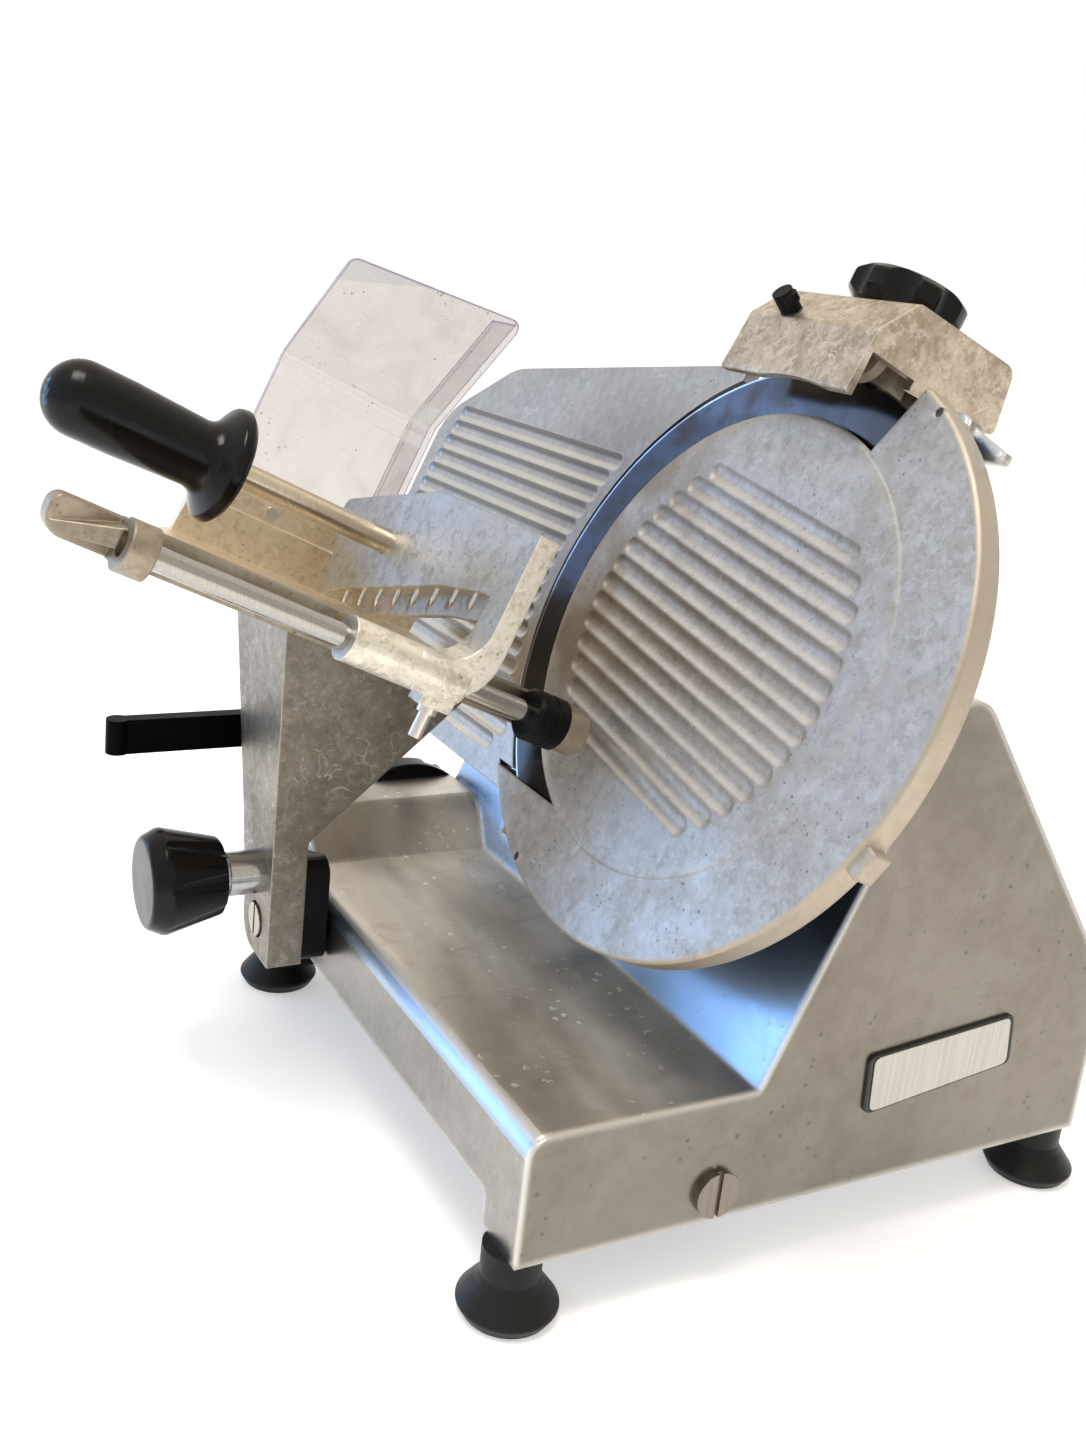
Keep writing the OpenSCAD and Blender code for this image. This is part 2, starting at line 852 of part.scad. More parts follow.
module carriage_arm() {
  color([0.74, 0.71, 0.64]) difference() {
    machine() {
      across(arm_y, web_t)
        polygon(rounded([
          [arm_x - arm_t, arm_z0],
          [arm_x, arm_z0],
          [arm_x, 320],
          [bx(32, under_u), 320],
          [bx(32, under_u), bz(32, under_u) - 6],
          [arm_x - arm_t, arm_z1]
        ], [0, 0, 0, 0, 0, 4]));
      translate([arm_x - arm_t, 0, 0]) rotate([90, 0, 90]) linear_extrude(arm_t)
        polygon(rounded([
          [arm_y - arm_w, arm_z0],
          [arm_y, arm_z0],
          [arm_y, arm_z1],
          [arm_y - arm_w - 8, arm_z1],
          [arm_y - arm_w, arm_z0 + 20]
        ], [14, 3, 0, 0, 0]));
      translate([arm_x - flange_t, 0, 0]) rotate([90, 0, 90]) linear_extrude(flange_t)
        polygon([
          [arm_y - arm_w - 8, arm_z1],
          [arm_y, arm_z1],
          [arm_y, 320],
          [arm_y - arm_top_y, 320],
          [arm_y - arm_top_y, 210]
        ]);
    }
    above_floor();
    machine() {
      translate([arm_x - arm_t - cut, knob_axis_y, lock_z]) rotate([0, 90, 0])
        cylinder(h = arm_t + 2 * cut, d = lock_stud_d + 2 * fit);
      translate([arm_x - 5, knob_axis_y, arm_screw_z]) rotate([0, 90, 0])
        cylinder(h = 5 + cut, d = 2 * arm_screw_d + 2);
      translate([arm_x - arm_t - cut, knob_axis_y, arm_screw_z]) rotate([0, 90, 0])
        cylinder(h = arm_t + 2 * cut, d = arm_screw_d + 2 * fit);
    }
  }
}

// Slotted screw in a counterbore below the lock knob
module arm_screw() {
  color([0.6, 0.6, 0.6]) machine() translate([arm_x - arm_t, knob_axis_y, arm_screw_z])
    rotate([0, 90, 0]) difference() {
      union() {
        cylinder(h = arm_t - 5, d = arm_screw_d);
        translate([0, 0, arm_t - 5]) cylinder(h = 6, d = 2 * arm_screw_d);
      }
      translate([-arm_screw_d, -1, arm_t - 1]) cube([2 * arm_screw_d, 2, 3]);
    }
}

lever_h = 17;
lever_t = 8;
lever_x1 = 91;
lever_y0 = arm_y - arm_top_y;
lever_root_l = 40;

// Flat black handle that the operator pushes the carriage by
module push_lever() {
  color([0.06, 0.06, 0.07]) machine() translate([0, 0, lever_z - lever_h / 2]) linear_extrude(lever_h) {
    polygon(rounded([
      [arm_x - flange_t - lever_t, lever_y0 - lever_t],
      [lever_x1, lever_y0 - lever_t],
      [lever_x1, lever_y0],
      [arm_x - flange_t, lever_y0],
      [arm_x - flange_t, lever_y0 + lever_root_l],
      [arm_x - flange_t - lever_t, lever_y0 + lever_root_l]
    ], [4, 3, 3, 0, 0, 0]));
    translate([lever_x1 - 5, lever_y0 - lever_t / 2]) circle(d = lever_t + 3);
  }
}

collar_l = 19;
lock_flutes = 7;
knob_x = arm_x + collar_l;

// Fluted black knob, wider at its outer end
module lock_knob() {
  color([0.06, 0.06, 0.07]) machine() translate([knob_x, knob_axis_y, lock_z])
    rotate([0, 90, 0]) difference() {
      rotate_extrude()
        polygon(rounded([
          [0, 0],
          [lock_r - 7, 0],
          [lock_r, lock_l - 8],
          [lock_r - 4, lock_l],
          [0, lock_l]
        ], [0, 3, 5, 3, 0]));
      for (i = [0:lock_flutes - 1])
        rotate(i * 360 / lock_flutes) translate([lock_r - 3, 0, -4]) rotate([0, 17, 0])
          cylinder(h = lock_l, r = 7);
      translate([0, 0, -cut]) cylinder(h = 16 + cut, d = lock_stud_d + 2 * fit);
    }
}

// Steel collar and stud of the lock knob
module lock_collar() {
  color([0.8, 0.8, 0.82]) machine() translate([arm_gap_x + 3, knob_axis_y, lock_z]) rotate([0, 90, 0]) {
    cylinder(h = knob_x - arm_gap_x - 3 + 15, d = lock_stud_d);
    translate([0, 0, arm_x - arm_gap_x - 3]) cylinder(h = collar_l - 3, d = collar_d);
    translate([0, 0, knob_x - arm_gap_x - 6]) cylinder(h = 3, d = collar_d - 3);
  }
}

module boss_web(n) {
  translate([rail_y1 - cut, rod_u - boss_d / 2 + 1, n[0]])
    cube([rod_y - rail_y1 + cut, boss_d - 2, n[1] - n[0]]);
}

tray_screw_places = [[rod_y - 82, 60], [rod_y - 82, 100]];
tray_screw_d = 6;

// Cast food tray: floor, operator's wall and rod rail with its two bosses
module tray() {
  color([0.76, 0.71, 0.61]) on_blade() difference() {
    union() {
      down_u(floor_u, floor_t)
        polygon(rounded([
          [tray_y0, tray_n0],
          [rail_y1, tray_n0],
          [rail_y1, rail_n1 - 2 * rail_round],
          [rail_y1 - 26, rail_n1 - 2 * rail_round],
          [tray_y0, wall_n1]
        ], [0, 0, 0, 10, 8]));
      along_n(tray_y0 + tray_t, tray_t)
        polygon(rounded([
          [tray_n0, under_u],
          [wall_n1, under_u],
          [wall_n1 - 3, floor_u + tray_wall_h],
          [tray_n0, floor_u + tray_wall_h]
        ], [0, 0, 10, 10]));
      along_n(rail_y1, rail_t)
        polygon(rounded([
          [tray_n0, under_u],
          [rail_n1, under_u],
          [rail_n1, rail_u1],
          [tray_n0, rail_u1]
        ], [3, rail_round, 5, 3]));
      for (n = [upper_boss_n, lower_boss_n]) {
        translate([rod_y, rod_u, 0]) peg(n[0], n[1], boss_d / 2 + 1);
        boss_web(n);
      }
      intersection() {
        along_n(rod_y - 0.4, rod_y - rail_y1 + 0.2)
          polygon([
            [rail_n1 - 5.5, under_u + 1.5],
            [rail_n1 - 1.5, floor_u + 1.5],
            [upper_boss_n[1] - 2, rail_u1 - 1],
            [upper_boss_n[1] - 2, rod_u - 2]
          ]);
        down_u(rail_u1 + 3, 40)
          polygon([
            [rail_y1 - 6, upper_boss_n[1] - 6],
            [rod_y + 6, upper_boss_n[1] - 6],
            [rod_y, upper_boss_n[1]],
            [rail_y1, rail_n1 - 1],
            [rail_y1 - 6, rail_n1 + 12]
          ]);
      }
    }
    translate([rod_y, rod_u, 0]) peg(lower_boss_n[0] + 4, upper_boss_n[1] + cut, rod_bore_d / 2);
    translate([tray_y0 + tray_t - 2, floor_u + tray_wall_h - 11, tray_n0 - cut])
      cube([3, 20, wall_n1 + 2 * cut]);
    for (p = tray_screw_places)
      translate([p.x, floor_u + cut, p.y]) rotate([90, 0, 0])
        cylinder(h = floor_t + 2 * cut, d = tray_screw_d + 2 * fit);
  }
}

// Countersunk heads that hold the tray to its arm
module tray_screws() {
  color([0.7, 0.7, 0.7]) on_blade()
    for (p = tray_screw_places)
      translate([p.x, floor_u, p.y]) rotate([90, 0, 0]) cylinder(h = floor_t, d = tray_screw_d);
}

module pusher_rod() {
  color([0.83, 0.83, 0.84]) on_blade() translate([rod_y, rod_u, 0])
    peg(lower_boss_n[0] + 4 + run_gap, upper_boss_n[1] - 3, rod_d / 2);
}

bumper_n0 = lower_boss_n[1] + run_gap;

module rod_bumper() {
  color([0.05, 0.05, 0.06]) on_blade() translate([rod_y, rod_u, bumper_n0]) rotate_extrude()
    polygon([
      [rod_bore_d / 2, 0],
      [bumper_d / 2, 0],
      [bumper_d / 2, 6],
      [bumper_d / 2 - 1, 6.5],
      [bumper_d / 2 - 1, 8],
      [bumper_d / 2, 8.5],
      [bumper_d / 2, bumper_l - 1.5],
      [bumper_d / 2 - 1.5, bumper_l],
      [rod_bore_d / 2, bumper_l]
    ]);
}

plate_n1 = plate_n + plate_t;
boss_n = [plate_n1, plate_n1 + boss_l];
arm_y0 = rod_y - 8;
pusher_top_u = 10;
pusher_lower = [[-192, -60], [-166, -51], [-119, -38], [-84, -28], [-48, -22]];
pusher_upper = concat(
  [[arm_y0 + 16, pusher_top_u]],
  corner_arc([arm_y0, pusher_top_u], [-122, pusher_top_u], [-160, 0], 20, 6),
  corner_arc([-160, 0], [-217, -14], [-192, -60], 6, 6));
handle_y = -153;
handle_u = -23;
handle_seat = 6;
stop_n = 88;
stop_d = 6;
lug_r = 13;

// Cast pusher: plate against the food, curved arm and sliding boss
module pusher() {
  color([0.72, 0.71, 0.69]) on_blade() difference() {
    union() {
      translate([0, 0, plate_n]) linear_extrude(plate_t)
        polygon(concat(
          pusher_lower,
          [[arm_y0, -22], [arm_y0 + 16, -22]],
          pusher_upper));
      along_n(arm_y0 + 16, 16)
        polygon(rounded([
          [plate_n, pusher_top_u],
          [plate_n, rod_u - 8],
          [boss_n[0] + 24, rod_u - 8],
          [boss_n[0] + 24, rod_u + 8],
          [plate_n1, rod_u + 8],
          [plate_n1, pusher_top_u]
        ], [0, 24, 0, 0, 18, 0], 10));
      translate([rod_y, rod_u, 0]) peg(boss_n[0], boss_n[1], boss_d / 2);
      translate([rod_y - 5, rod_u - lug_r, stop_n - 8]) cube([10, lug_r, 16]);
    }
    translate([rod_y, rod_u, 0]) peg(plate_n - 20, boss_n[1] + cut, rod_bore_d / 2);
    translate([handle_y, handle_u, 0]) peg(plate_n1 - handle_seat, plate_n1 + cut, handle_rod_d / 2 + fit);
    translate([rod_y, rod_u - lug_r + 6, stop_n]) rotate([90, 0, 0])
      cylinder(h = 20, d = stop_d + 2 * fit);
    for (i = [0:pin_count - 1])
      translate([pin_y(i), lower_edge(pin_y(i)) + pin_in, plate_n + plate_t / 2]) rotate([90, 0, 0])
        cylinder(h = pin_in + 5, d = pin_d + 2 * fit);
  }
}

strip_t = 3;
strip_h = 11;
strip_y = [-190, -50];
pin_d = 2.6;
pin_l = 8;
pin_in = 6;

// Height of the pusher's lower edge at y
function lower_edge(y) = lookup(y, pusher_lower);

// Thin strip along the plate's lower edge, before the pins
module gripper_strip() {
  color([0.55, 0.54, 0.52]) on_blade() translate([0, 0, plate_n - strip_t]) linear_extrude(strip_t)
    polygon(concat(
      [for (p = pusher_lower) [min(p.x, strip_y[1]), max(p.y - strip_h, floor_u + 4)]],
      [[strip_y[1], -14]],
      [for (i = [len(pusher_lower) - 2:-1:0]) pusher_lower[i] + [0, 8]]));
}

function pin_y(i) = strip_y[0] + 14 + i * (strip_y[1] - strip_y[0] - 24) / (pin_count - 1);
function pin_tip_u(i) = max(lower_edge(pin_y(i)) - pin_l, floor_u + 4);

// Pins under the plate's lower edge, pressed into it
module gripper_pins() {
  color([0.8, 0.8, 0.8]) on_blade()
    for (i = [0:pin_count - 1])
      translate([pin_y(i), pin_tip_u(i), plate_n + plate_t / 2]) rotate([-90, 0, 0]) {
        cylinder(h = 2.5, r1 = 0.4, r2 = pin_d / 2);
        translate([0, 0, 2.5])
          cylinder(h = lower_edge(pin_y(i)) + pin_in - pin_tip_u(i) - 2.5, d = pin_d);
      }
}

// Stop screw under the sliding boss
module pusher_stop() {
  color([0.75, 0.75, 0.77]) on_blade() translate([rod_y, rod_u - lug_r + 6, stop_n])
    rotate([90, 0, 0]) {
      cylinder(h = 20, d = stop_d);
      translate([0, 0, 6]) cylinder(h = 3, d = stop_d + 3);
    }
}

handle_n0 = plate_n1 - handle_seat;
grip_n0 = 165;
grip_seat = 30;

module handle_rod() {
  color([0.72, 0.67, 0.56]) on_blade() translate([handle_y, handle_u, 0])
    peg(handle_n0, grip_n0 + grip_seat, handle_rod_d / 2);
}

// Turned black grip with a flange towards the food and a round end
module handle_grip() {
  color([0.05, 0.05, 0.06]) on_blade() translate([handle_y, handle_u, grip_n0]) difference() {
    rotate_extrude()
      polygon(rounded([
        [0, 0],
        [flange_r - 3, 0],
        [flange_r, 3],
        [flange_r - 1, 7],
        [grip_r - 1.5, 14],
        [grip_r, grip_l * 0.6],
        [grip_r, grip_l],
        [0, grip_l]
      ], [0, 2, 2, 2, 9, 20, grip_r - 0.5, 0], 10));
    translate([0, 0, -cut]) cylinder(h = grip_seat + 2 * cut, d = handle_rod_d + 2 * fit);
  }
}

guard_n = [46, 140];
guard_bend_u = 40;
guard_drop = 13;
guard_flange = 30;
guard_y1 = tray_y0;
guard_u0 = floor_u + tray_wall_h - 16;
guard_u1 = floor_u + guard_h;
guard_lean = 0.626 * (guard_u1 - guard_bend_u);
rivet_n = [64, 111];
rivet_u = floor_u + tray_wall_h - 5.5;
rivet_d = 4;

// Side view of the guard, moved forward by some depth
function guard_side(depth) = [
  [guard_y1 - depth, guard_u0],
  [guard_y1 - depth, guard_bend_u],
  [guard_y1 + guard_lean - depth, guard_u1]
];

// Bent clear guard in front of the operator's hand
module hand_guard() {
  color([0.86, 0.86, 0.9, 0.5]) on_blade() difference() {
    intersection() {
      union() {
        translate([0, 0, guard_n[0]]) linear_extrude(guard_n[1] - guard_n[0])
          polygon(concat(guard_side(0), [for (i = [2:-1:0]) guard_side(guard_t)[i]]));
        translate([0, 0, guard_n[0]]) linear_extrude(guard_t)
          polygon(concat(guard_side(guard_t / 2), [for (i = [2:-1:0]) guard_side(guard_flange)[i]]));
      }
      along_n(0, 400)
        polygon(rounded([
          [guard_n[0], guard_u0],
          [guard_n[1], guard_u0],
          [guard_n[1], guard_u1 - guard_drop],
          [guard_n[0], guard_u1]
        ], [0, 0, 4, 6]));
    }
    for (n = rivet_n)
      translate([guard_y1, rivet_u, n]) rotate([0, 90, 0])
        cylinder(h = 40, d = rivet_d + 2 * fit, center = true);
  }
}

// Rivets through the tray's wall and the guard
module guard_rivets() {
  inside_y = tray_y0 + tray_t - 2;
  color([0.75, 0.73, 0.68]) on_blade()
    for (n = rivet_n) {
      translate([inside_y, rivet_u, n]) rotate([0, 90, 0]) cylinder(h = 1.4, d = 2 * rivet_d - 1);
      translate([guard_y1 - guard_t - 1.4, rivet_u, n]) rotate([0, 90, 0])
        cylinder(h = 1.4, d = 2 * rivet_d - 1);
      translate([guard_y1 - guard_t, rivet_u, n]) rotate([0, 90, 0])
        cylinder(h = guard_t, d = rivet_d);
    }
}

// Dished blade with a bevel behind its edge
module blade() {
  color([0.3, 0.3, 0.34]) on_blade() difference() {
    rotate_extrude()
      polygon([
        [hub_hole_r - 10, hub_n],
        [70, hub_n],
        [100, -3 - blade_t],
        [blade_r - 7, -1 - blade_t],
        [blade_r, -0.4],
        [blade_r, 0],
        [100, -3],
        [70, hub_n + blade_t],
        [hub_hole_r - 10, hub_n + blade_t]
      ]);
    for (a = [45:90:315])
      rotate(a) translate([screw_circle_r, 0, 0]) peg(hub_n - cut, 0, 3 + fit);
  }
}

// Flange and shaft that carry the blade
module blade_hub() {
  color([0.7, 0.7, 0.72]) on_blade() difference() {
    union() {
      peg(hub_n - hub_flange_t, hub_n, 32);
      peg(hub_n, hub_n + blade_t, hub_hole_r - 10 - fit);
      peg(pulley_n - 1, hub_n, shaft_d / 2);
    }
    for (a = [45:90:315])
      rotate(a) translate([screw_circle_r, 0, 0]) peg(hub_n - hub_flange_t - cut, hub_n + cut, 3 + fit);
  }
}

module hub_screws() {
  color([0.6, 0.6, 0.62]) on_blade()
    for (a = [45:90:315])
      rotate(a) translate([screw_circle_r, 0, 0]) {
        peg(hub_n - hub_flange_t + 0.5, hub_n + blade_t, 3);
        peg(hub_n + blade_t, hub_n + blade_t + 3, 5);
      }
}

module shaft_bearings() {
  color([0.66, 0.66, 0.7]) on_blade()
    for (n = bearing_n)
      translate([0, 0, n]) difference() {
        cylinder(h = bearing_w, d = bearing_d);
        translate([0, 0, -cut]) cylinder(h = bearing_w + 2 * cut, d = shaft_d + 2 * fit);
      }
}

// Ribbed pulley; the belt runs between its two rims
module pulley(r, bore) {
  difference() {
    rotate_extrude()
      polygon([
        [bore / 2 + fit, 0],
        [r + 2, 0],
        [r, 1.5],
        [r, pulley_w - 1.5],
        [r + 2, pulley_w],
        [bore / 2 + fit, pulley_w]
      ]);
  }
}

module blade_pulley() {
  color([0.5, 0.5, 0.52]) on_blade() translate([0, 0, pulley_n]) pulley(pulley_r, shaft_d);
}

module motor_pulley() {
  color([0.5, 0.5, 0.52]) on_blade() translate([0, -belt_c, pulley_n]) pulley(pinion_r, 10);
}

// Loop round the two pulleys, some distance off their rims
module belt_loop(off) {
  lean = asin((pulley_r - pinion_r) / belt_c);
  big = pulley_r + off;
  small = pinion_r + off;
  circle(r = big);
  translate([0, -belt_c]) circle(r = small);
  polygon([
    [big * cos(lean), -big * sin(lean)],
    [-big * cos(lean), -big * sin(lean)],
    [-small * cos(lean), -belt_c - small * sin(lean)],
    [small * cos(lean), -belt_c - small * sin(lean)]
  ]);
}

module drive_belt() {
  color([0.08, 0.08, 0.08]) on_blade() translate([0, 0, pulley_n + (pulley_w - belt_w) / 2])
    linear_extrude(belt_w) difference() {
      belt_loop(run_gap + belt_t);
      belt_loop(run_gap);
    }
}

module motor() {
  color([0.35, 0.36, 0.38]) on_blade() translate([0, -belt_c, 0]) difference() {
    union() {
      peg(motor_n - motor_l, motor_n, motor_r);
      for (a = [0:24:336])
        rotate(a) translate([motor_r - 1, -1.5, motor_n - motor_l + 12]) cube([4, 3, motor_l - 24]);
    }
    peg(motor_n - 30, motor_n + cut, 8);
  }
}

module motor_mount() {
  color([0.55, 0.56, 0.58]) on_blade() translate([0, -belt_c, 0]) {
    difference() {
      translate([-mount_half, -mount_half, motor_n]) cube([2 * mount_half, 2 * mount_half, mount_t]);
      peg(motor_n - cut, mount_n + cut, 8);
    }
    for (i = [-1, 1], j = [-1, 1])
      translate([i * mount_post, j * mount_post, 0]) peg(mount_n, -face_n - wall, 5);
  }
}

module motor_shaft() {
  color([0.75, 0.75, 0.77]) on_blade() translate([0, -belt_c, 0])
    peg(motor_n - 28, pulley_n + pulley_w + 2, 5);
}

// Cutter of a shallow flute with round ends, along the machine at u
module flute(y0, y1, u, face_n, width) {
  r = (pow(flute_depth, 2) + pow(width / 2, 2)) / (2 * flute_depth);
  translate([y0, u, face_n + r - flute_depth]) {
    rotate([0, 90, 0]) cylinder(h = y1 - y0, r = r);
    sphere(r = r);
    translate([y1 - y0, 0, 0]) sphere(r = r);
  }
}

lug_a = -19;

// Cast blade cover: fluted disc and rimmed crescent in one piece
module blade_cover() {
  back_n = cover_n - cover_t;
  flute_w = cover_pitch - 0.7;
  color([0.66, 0.66, 0.66]) on_blade() difference() {
    union() {
      rotate_extrude()
        polygon([
          [0, back_n - cover_pad_t],
          [cover_r - 13, back_n - cover_pad_t],
          [cover_r - 11, back_n],
          [cover_r, back_n],
          [cover_r, cover_n - cover_step - 0.4],
          [cover_r - 2, cover_n - cover_step / 2],
          [cover_r - 5, cover_n],
          [0, cover_n]
        ]);
      difference() {
        rotate(crescent_a0) rotate_extrude(angle = crescent_a1 - crescent_a0)
          polygon([
            [cover_r - 8, back_n + 0.3],
            [crescent_r - rim_t, back_n + 0.3],
            [crescent_r - rim_t, cover_back_n],
            [crescent_r, cover_back_n],
            [crescent_r, cover_n - cover_step - 1],
            [crescent_r - 1, cover_n - cover_step],
            [cover_r - 8, cover_n - cover_step]
          ]);
        translate([-2 * crescent_r, crescent_end_u, cover_back_n - cut])
          cube([2 * crescent_r - 20, crescent_r, rim_d + 2 * cut]);
      }
      rotate(lug_a) translate([crescent_r - 3, -6, cover_back_n]) cube([8, 12, rim_d - 3]);
    }
    rotate(cover_flute_turn)
      for (i = [0:cover_flutes - 1]) {
        d = (i - (cover_flutes - 1) / 2) * cover_pitch;
        half = sqrt(pow(cover_r - 20, 2) - d * d) - flute_w / 2;
        flute(-half, half, d, cover_n, flute_w);
      }
    for (a = cover_posts)
      rotate(a) translate([cover_screw_r, 0, 0]) peg(cover_back_n - cut, cover_n + cut, cover_screw_d / 2 + fit);
  }
}

module cover_screws() {
  color([0.3, 0.3, 0.32]) on_blade()
    for (a = cover_posts)
      rotate(a) translate([cover_screw_r, 0, 0])
        peg(cover_back_n - cover_screw_in + 1, cover_n - 1.5, cover_screw_d / 2);
}

deflector_a = [138, 222];
deflector_r = [40, 117];

// Thin sheet behind the blade that peels the slice away
module slice_deflector() {
  color([0.72, 0.72, 0.74]) on_blade() rotate(deflector_a[0])
    rotate_extrude(angle = deflector_a[1] - deflector_a[0])
      polygon([
        [deflector_r[0], deflector_n],
        [deflector_r[1], deflector_n],
        [deflector_r[1], deflector_n + deflector_t],
        [deflector_r[0], deflector_n + deflector_t]
      ]);
}

gauge_flute_u1 = 61;
gauge_clear_r = blade_r + gauge_gap;

// Fluted gauge plate with a concave edge round the blade
module gauge_plate() {
  plate_n0 = gauge_back_n;
  flute_w = gauge_pitch - 0.5;
  color([0.62, 0.63, 0.64]) on_blade() difference() {
    union() {
      translate([0, 0, plate_n0]) linear_extrude(gauge_t)
        polygon(rounded([
          [gauge_y0, gauge_u0],
          [-60, gauge_u0],
          [-60, 121],
          [-262, 94],
          [gauge_y0, 58]
        ], [10, 0, 0, 40, 30]));
      for (u = gauge_rod_u)
        translate([gauge_rod_y, u, 0]) peg(plate_n0 - gauge_boss_t, plate_n0 + 1, gauge_rod_r + 5);
    }
    for (i = [0:gauge_flutes - 1]) {
      u = gauge_flute_u1 - i * gauge_pitch;
      end_r = u - gauge_pitch < crescent_end_u + 2 ? crescent_r + 9 : gauge_clear_r + 6.5;
      y0 = gauge_y0 + 13 + max(0, u - 20) * 0.22;
      flute(y0, -sqrt(pow(end_r, 2) - u * u) - flute_w / 2, u, gauge_face_n, flute_w);
    }
    peg(plate_n0 - cut - gauge_boss_t, cut, gauge_clear_r);
    intersection() {
      peg(plate_n0 - cut, cut, crescent_r + 2);
      translate([gauge_y0, gauge_u0 - cut, plate_n0 - cut])
        cube([-gauge_y0, crescent_end_u + 2 - gauge_u0 + cut, 2 * gauge_t]);
    }
    for (u = gauge_rod_u)
      translate([gauge_rod_y, u, 0]) peg(plate_n0 - gauge_boss_t - cut, plate_n0 + 2, gauge_rod_r + fit);
  }
}

module gauge_rods() {
  color([0.8, 0.8, 0.82]) on_blade()
    for (u = gauge_rod_u)
      translate([gauge_rod_y, u, 0]) peg(carrier_n[0], gauge_back_n + 1, gauge_rod_r);
}

// Place of the dial's centre on the blade's axes
cam_n = (dial_x - blade_x) * cos_t + (dial_z - blade_z) * sin_t;
cam_u = -(dial_x - blade_x) * sin_t + (dial_z - blade_z) * cos_t;
pin_n = cam_n - cam_r0;
carrier_y = [gauge_rod_y - 10, gauge_rod_y + 10];

foot_n1 = pin_n + 6;
foot_u = [cam_u - 4.5, cam_u + 6];

// Bracket on the inner ends of the gauge rods, with the pin that follows the dial's groove
module gauge_carrier() {
  color([0.5, 0.5, 0.52]) on_blade() difference() {
    union() {
      along_n(carrier_y[1], carrier_y[1] - carrier_y[0])
        polygon([
          [carrier_n[0], foot_u[0]],
          [foot_n1, foot_u[0]],
          [foot_n1, foot_u[1]],
          [carrier_n[1], foot_u[1]],
          [carrier_n[1], gauge_rod_u[0] + 12],
          [carrier_n[0], gauge_rod_u[0] + 12]
        ]);
      translate([carrier_y[0] + cut, cam_u, pin_n]) rotate([0, -90, 0])
        cylinder(h = carrier_y[0] + cut - (front_y - blade_y - groove_d), d = cam_pin_d);
    }
    for (u = gauge_rod_u)
      translate([gauge_rod_y, u, 0]) peg(carrier_n[0] - cut, carrier_n[1] + cut, gauge_rod_r + fit);
  }
}

dial_lobes = 8;

// Points down one side of the dial's spiral groove, a little past both ends of the turn
function spiral(off) = [for (i = [-20:5:dial_turn + 10])
  let (r = cam_r0 + off + slice_max * i / dial_turn, a = 180 + tilt - i)
  [r * cos(a), r * sin(a)]];

// Spiral groove that moves the gauge plate's pin
module dial_groove() {
  inner = spiral(-groove_w / 2);
  outer = spiral(groove_w / 2);
  translate([0, 0, -cut]) linear_extrude(groove_d + run_gap + cut)
    polygon(concat(outer, [for (i = [len(inner) - 1:-1:0]) inner[i]]));
}

// Black dial on the front face, with grip hollows round its rim and a groove in its back
module thickness_dial() {
  color([0.06, 0.06, 0.07]) machine() translate([dial_x, front_y - run_gap, dial_z])
    rotate([90, 0, 0]) difference() {
      rotate_extrude()
        polygon(rounded([
          [0, 0],
          [dial_r, 0],
          [dial_r, dial_t - 6],
          [dial_r - 5, dial_t],
          [0, dial_t]
        ], [0, 1, 3, 3, 0]));
      for (i = [0:dial_lobes - 1])
        rotate((i + 0.5) * 360 / dial_lobes) translate([dial_r + 4, 0, 5]) cylinder(h = dial_t, r = 7);
      dial_groove();
      translate([0, 0, -cut]) cylinder(h = 12, d = dial_shaft_d + 2 * fit);
    }
}

// Dial's shaft, with a collar inside the front wall
module dial_shaft() {
  color([0.75, 0.75, 0.77]) machine() translate([dial_x, front_y - 10, dial_z]) rotate([-90, 0, 0]) {
    cylinder(h = 10 + wall + 5, d = dial_shaft_d);
    translate([0, 0, 10 + wall + run_gap]) cylinder(h = 4, r = cam_r0 - cam_pin_d / 2 - 1);
  }
}

module switch_plate() {
  color([0.12, 0.12, 0.13]) machine() translate([switch_x, front_y, switch_z])
    rotate([90, 0, 0]) difference() {
      linear_extrude(switch_plate_t)
        polygon(rounded([[-38, -18], [38, -18], [38, 18], [-38, 18]], [5, 5, 5, 5]));
      for (side = [-1, 1])
        translate([side * switch_gap / 2, 0, -cut])
          cylinder(h = switch_plate_t + 2 * cut, d = button_d + 2 * run_gap);
    }
}

// Push button: a cap in the plate and a stem through the base's wall
module switch_button(side) {
  machine() translate([switch_x + side * switch_gap / 2, front_y, switch_z])
    rotate([90, 0, 0]) {
      translate([0, 0, button_travel + run_gap]) cylinder(h = 5, d = button_d);
      translate([0, 0, -wall - 6]) cylinder(h = wall + 7 + button_travel, d = stem_d);
    }
}

module start_button() {
  color([0.1, 0.45, 0.2]) switch_button(1);
}

module stop_button() {
  color([0.65, 0.1, 0.1]) switch_button(-1);
}

module cable_gland() {
  color([0.06, 0.06, 0.07]) machine() translate([-base_w - gland_l, gland_y, gland_z])
    rotate([0, 90, 0]) difference() {
      union() {
        cylinder(h = 9, d = 20);
        translate([0, 0, 8]) cylinder(h = gland_l - 8, d = 25, $fn = 6);
        cylinder(h = gland_l + wall + 4, d = gland_d);
      }
      translate([0, 0, -cut]) cylinder(h = gland_l + wall + 6, d = 8);
    }
}

sharp_front_n = 21;
sharp_back_n = -59;
sharp_outline = [
  [sharp_back_n - 1, 129],
  [-8, 125.3],
  [sharp_front_n - 4, 111],
  [sharp_front_n + 1, 111],
  [sharp_front_n - 1, 138],
  [sharp_front_n - 14.5, sharp_u - 1.5],
  [sharp_back_n + 5, sharp_u]
];
sharp_in_n = [sharp_back_n + sharp_t + 4, sharp_front_n - sharp_t];
sharp_boss_r = 13;
blade_room_r = 121;
pin_seat = [4, 2];
button_slope = 64.5;
button_n = sharp_front_n - 4;
button_u = 141.9;

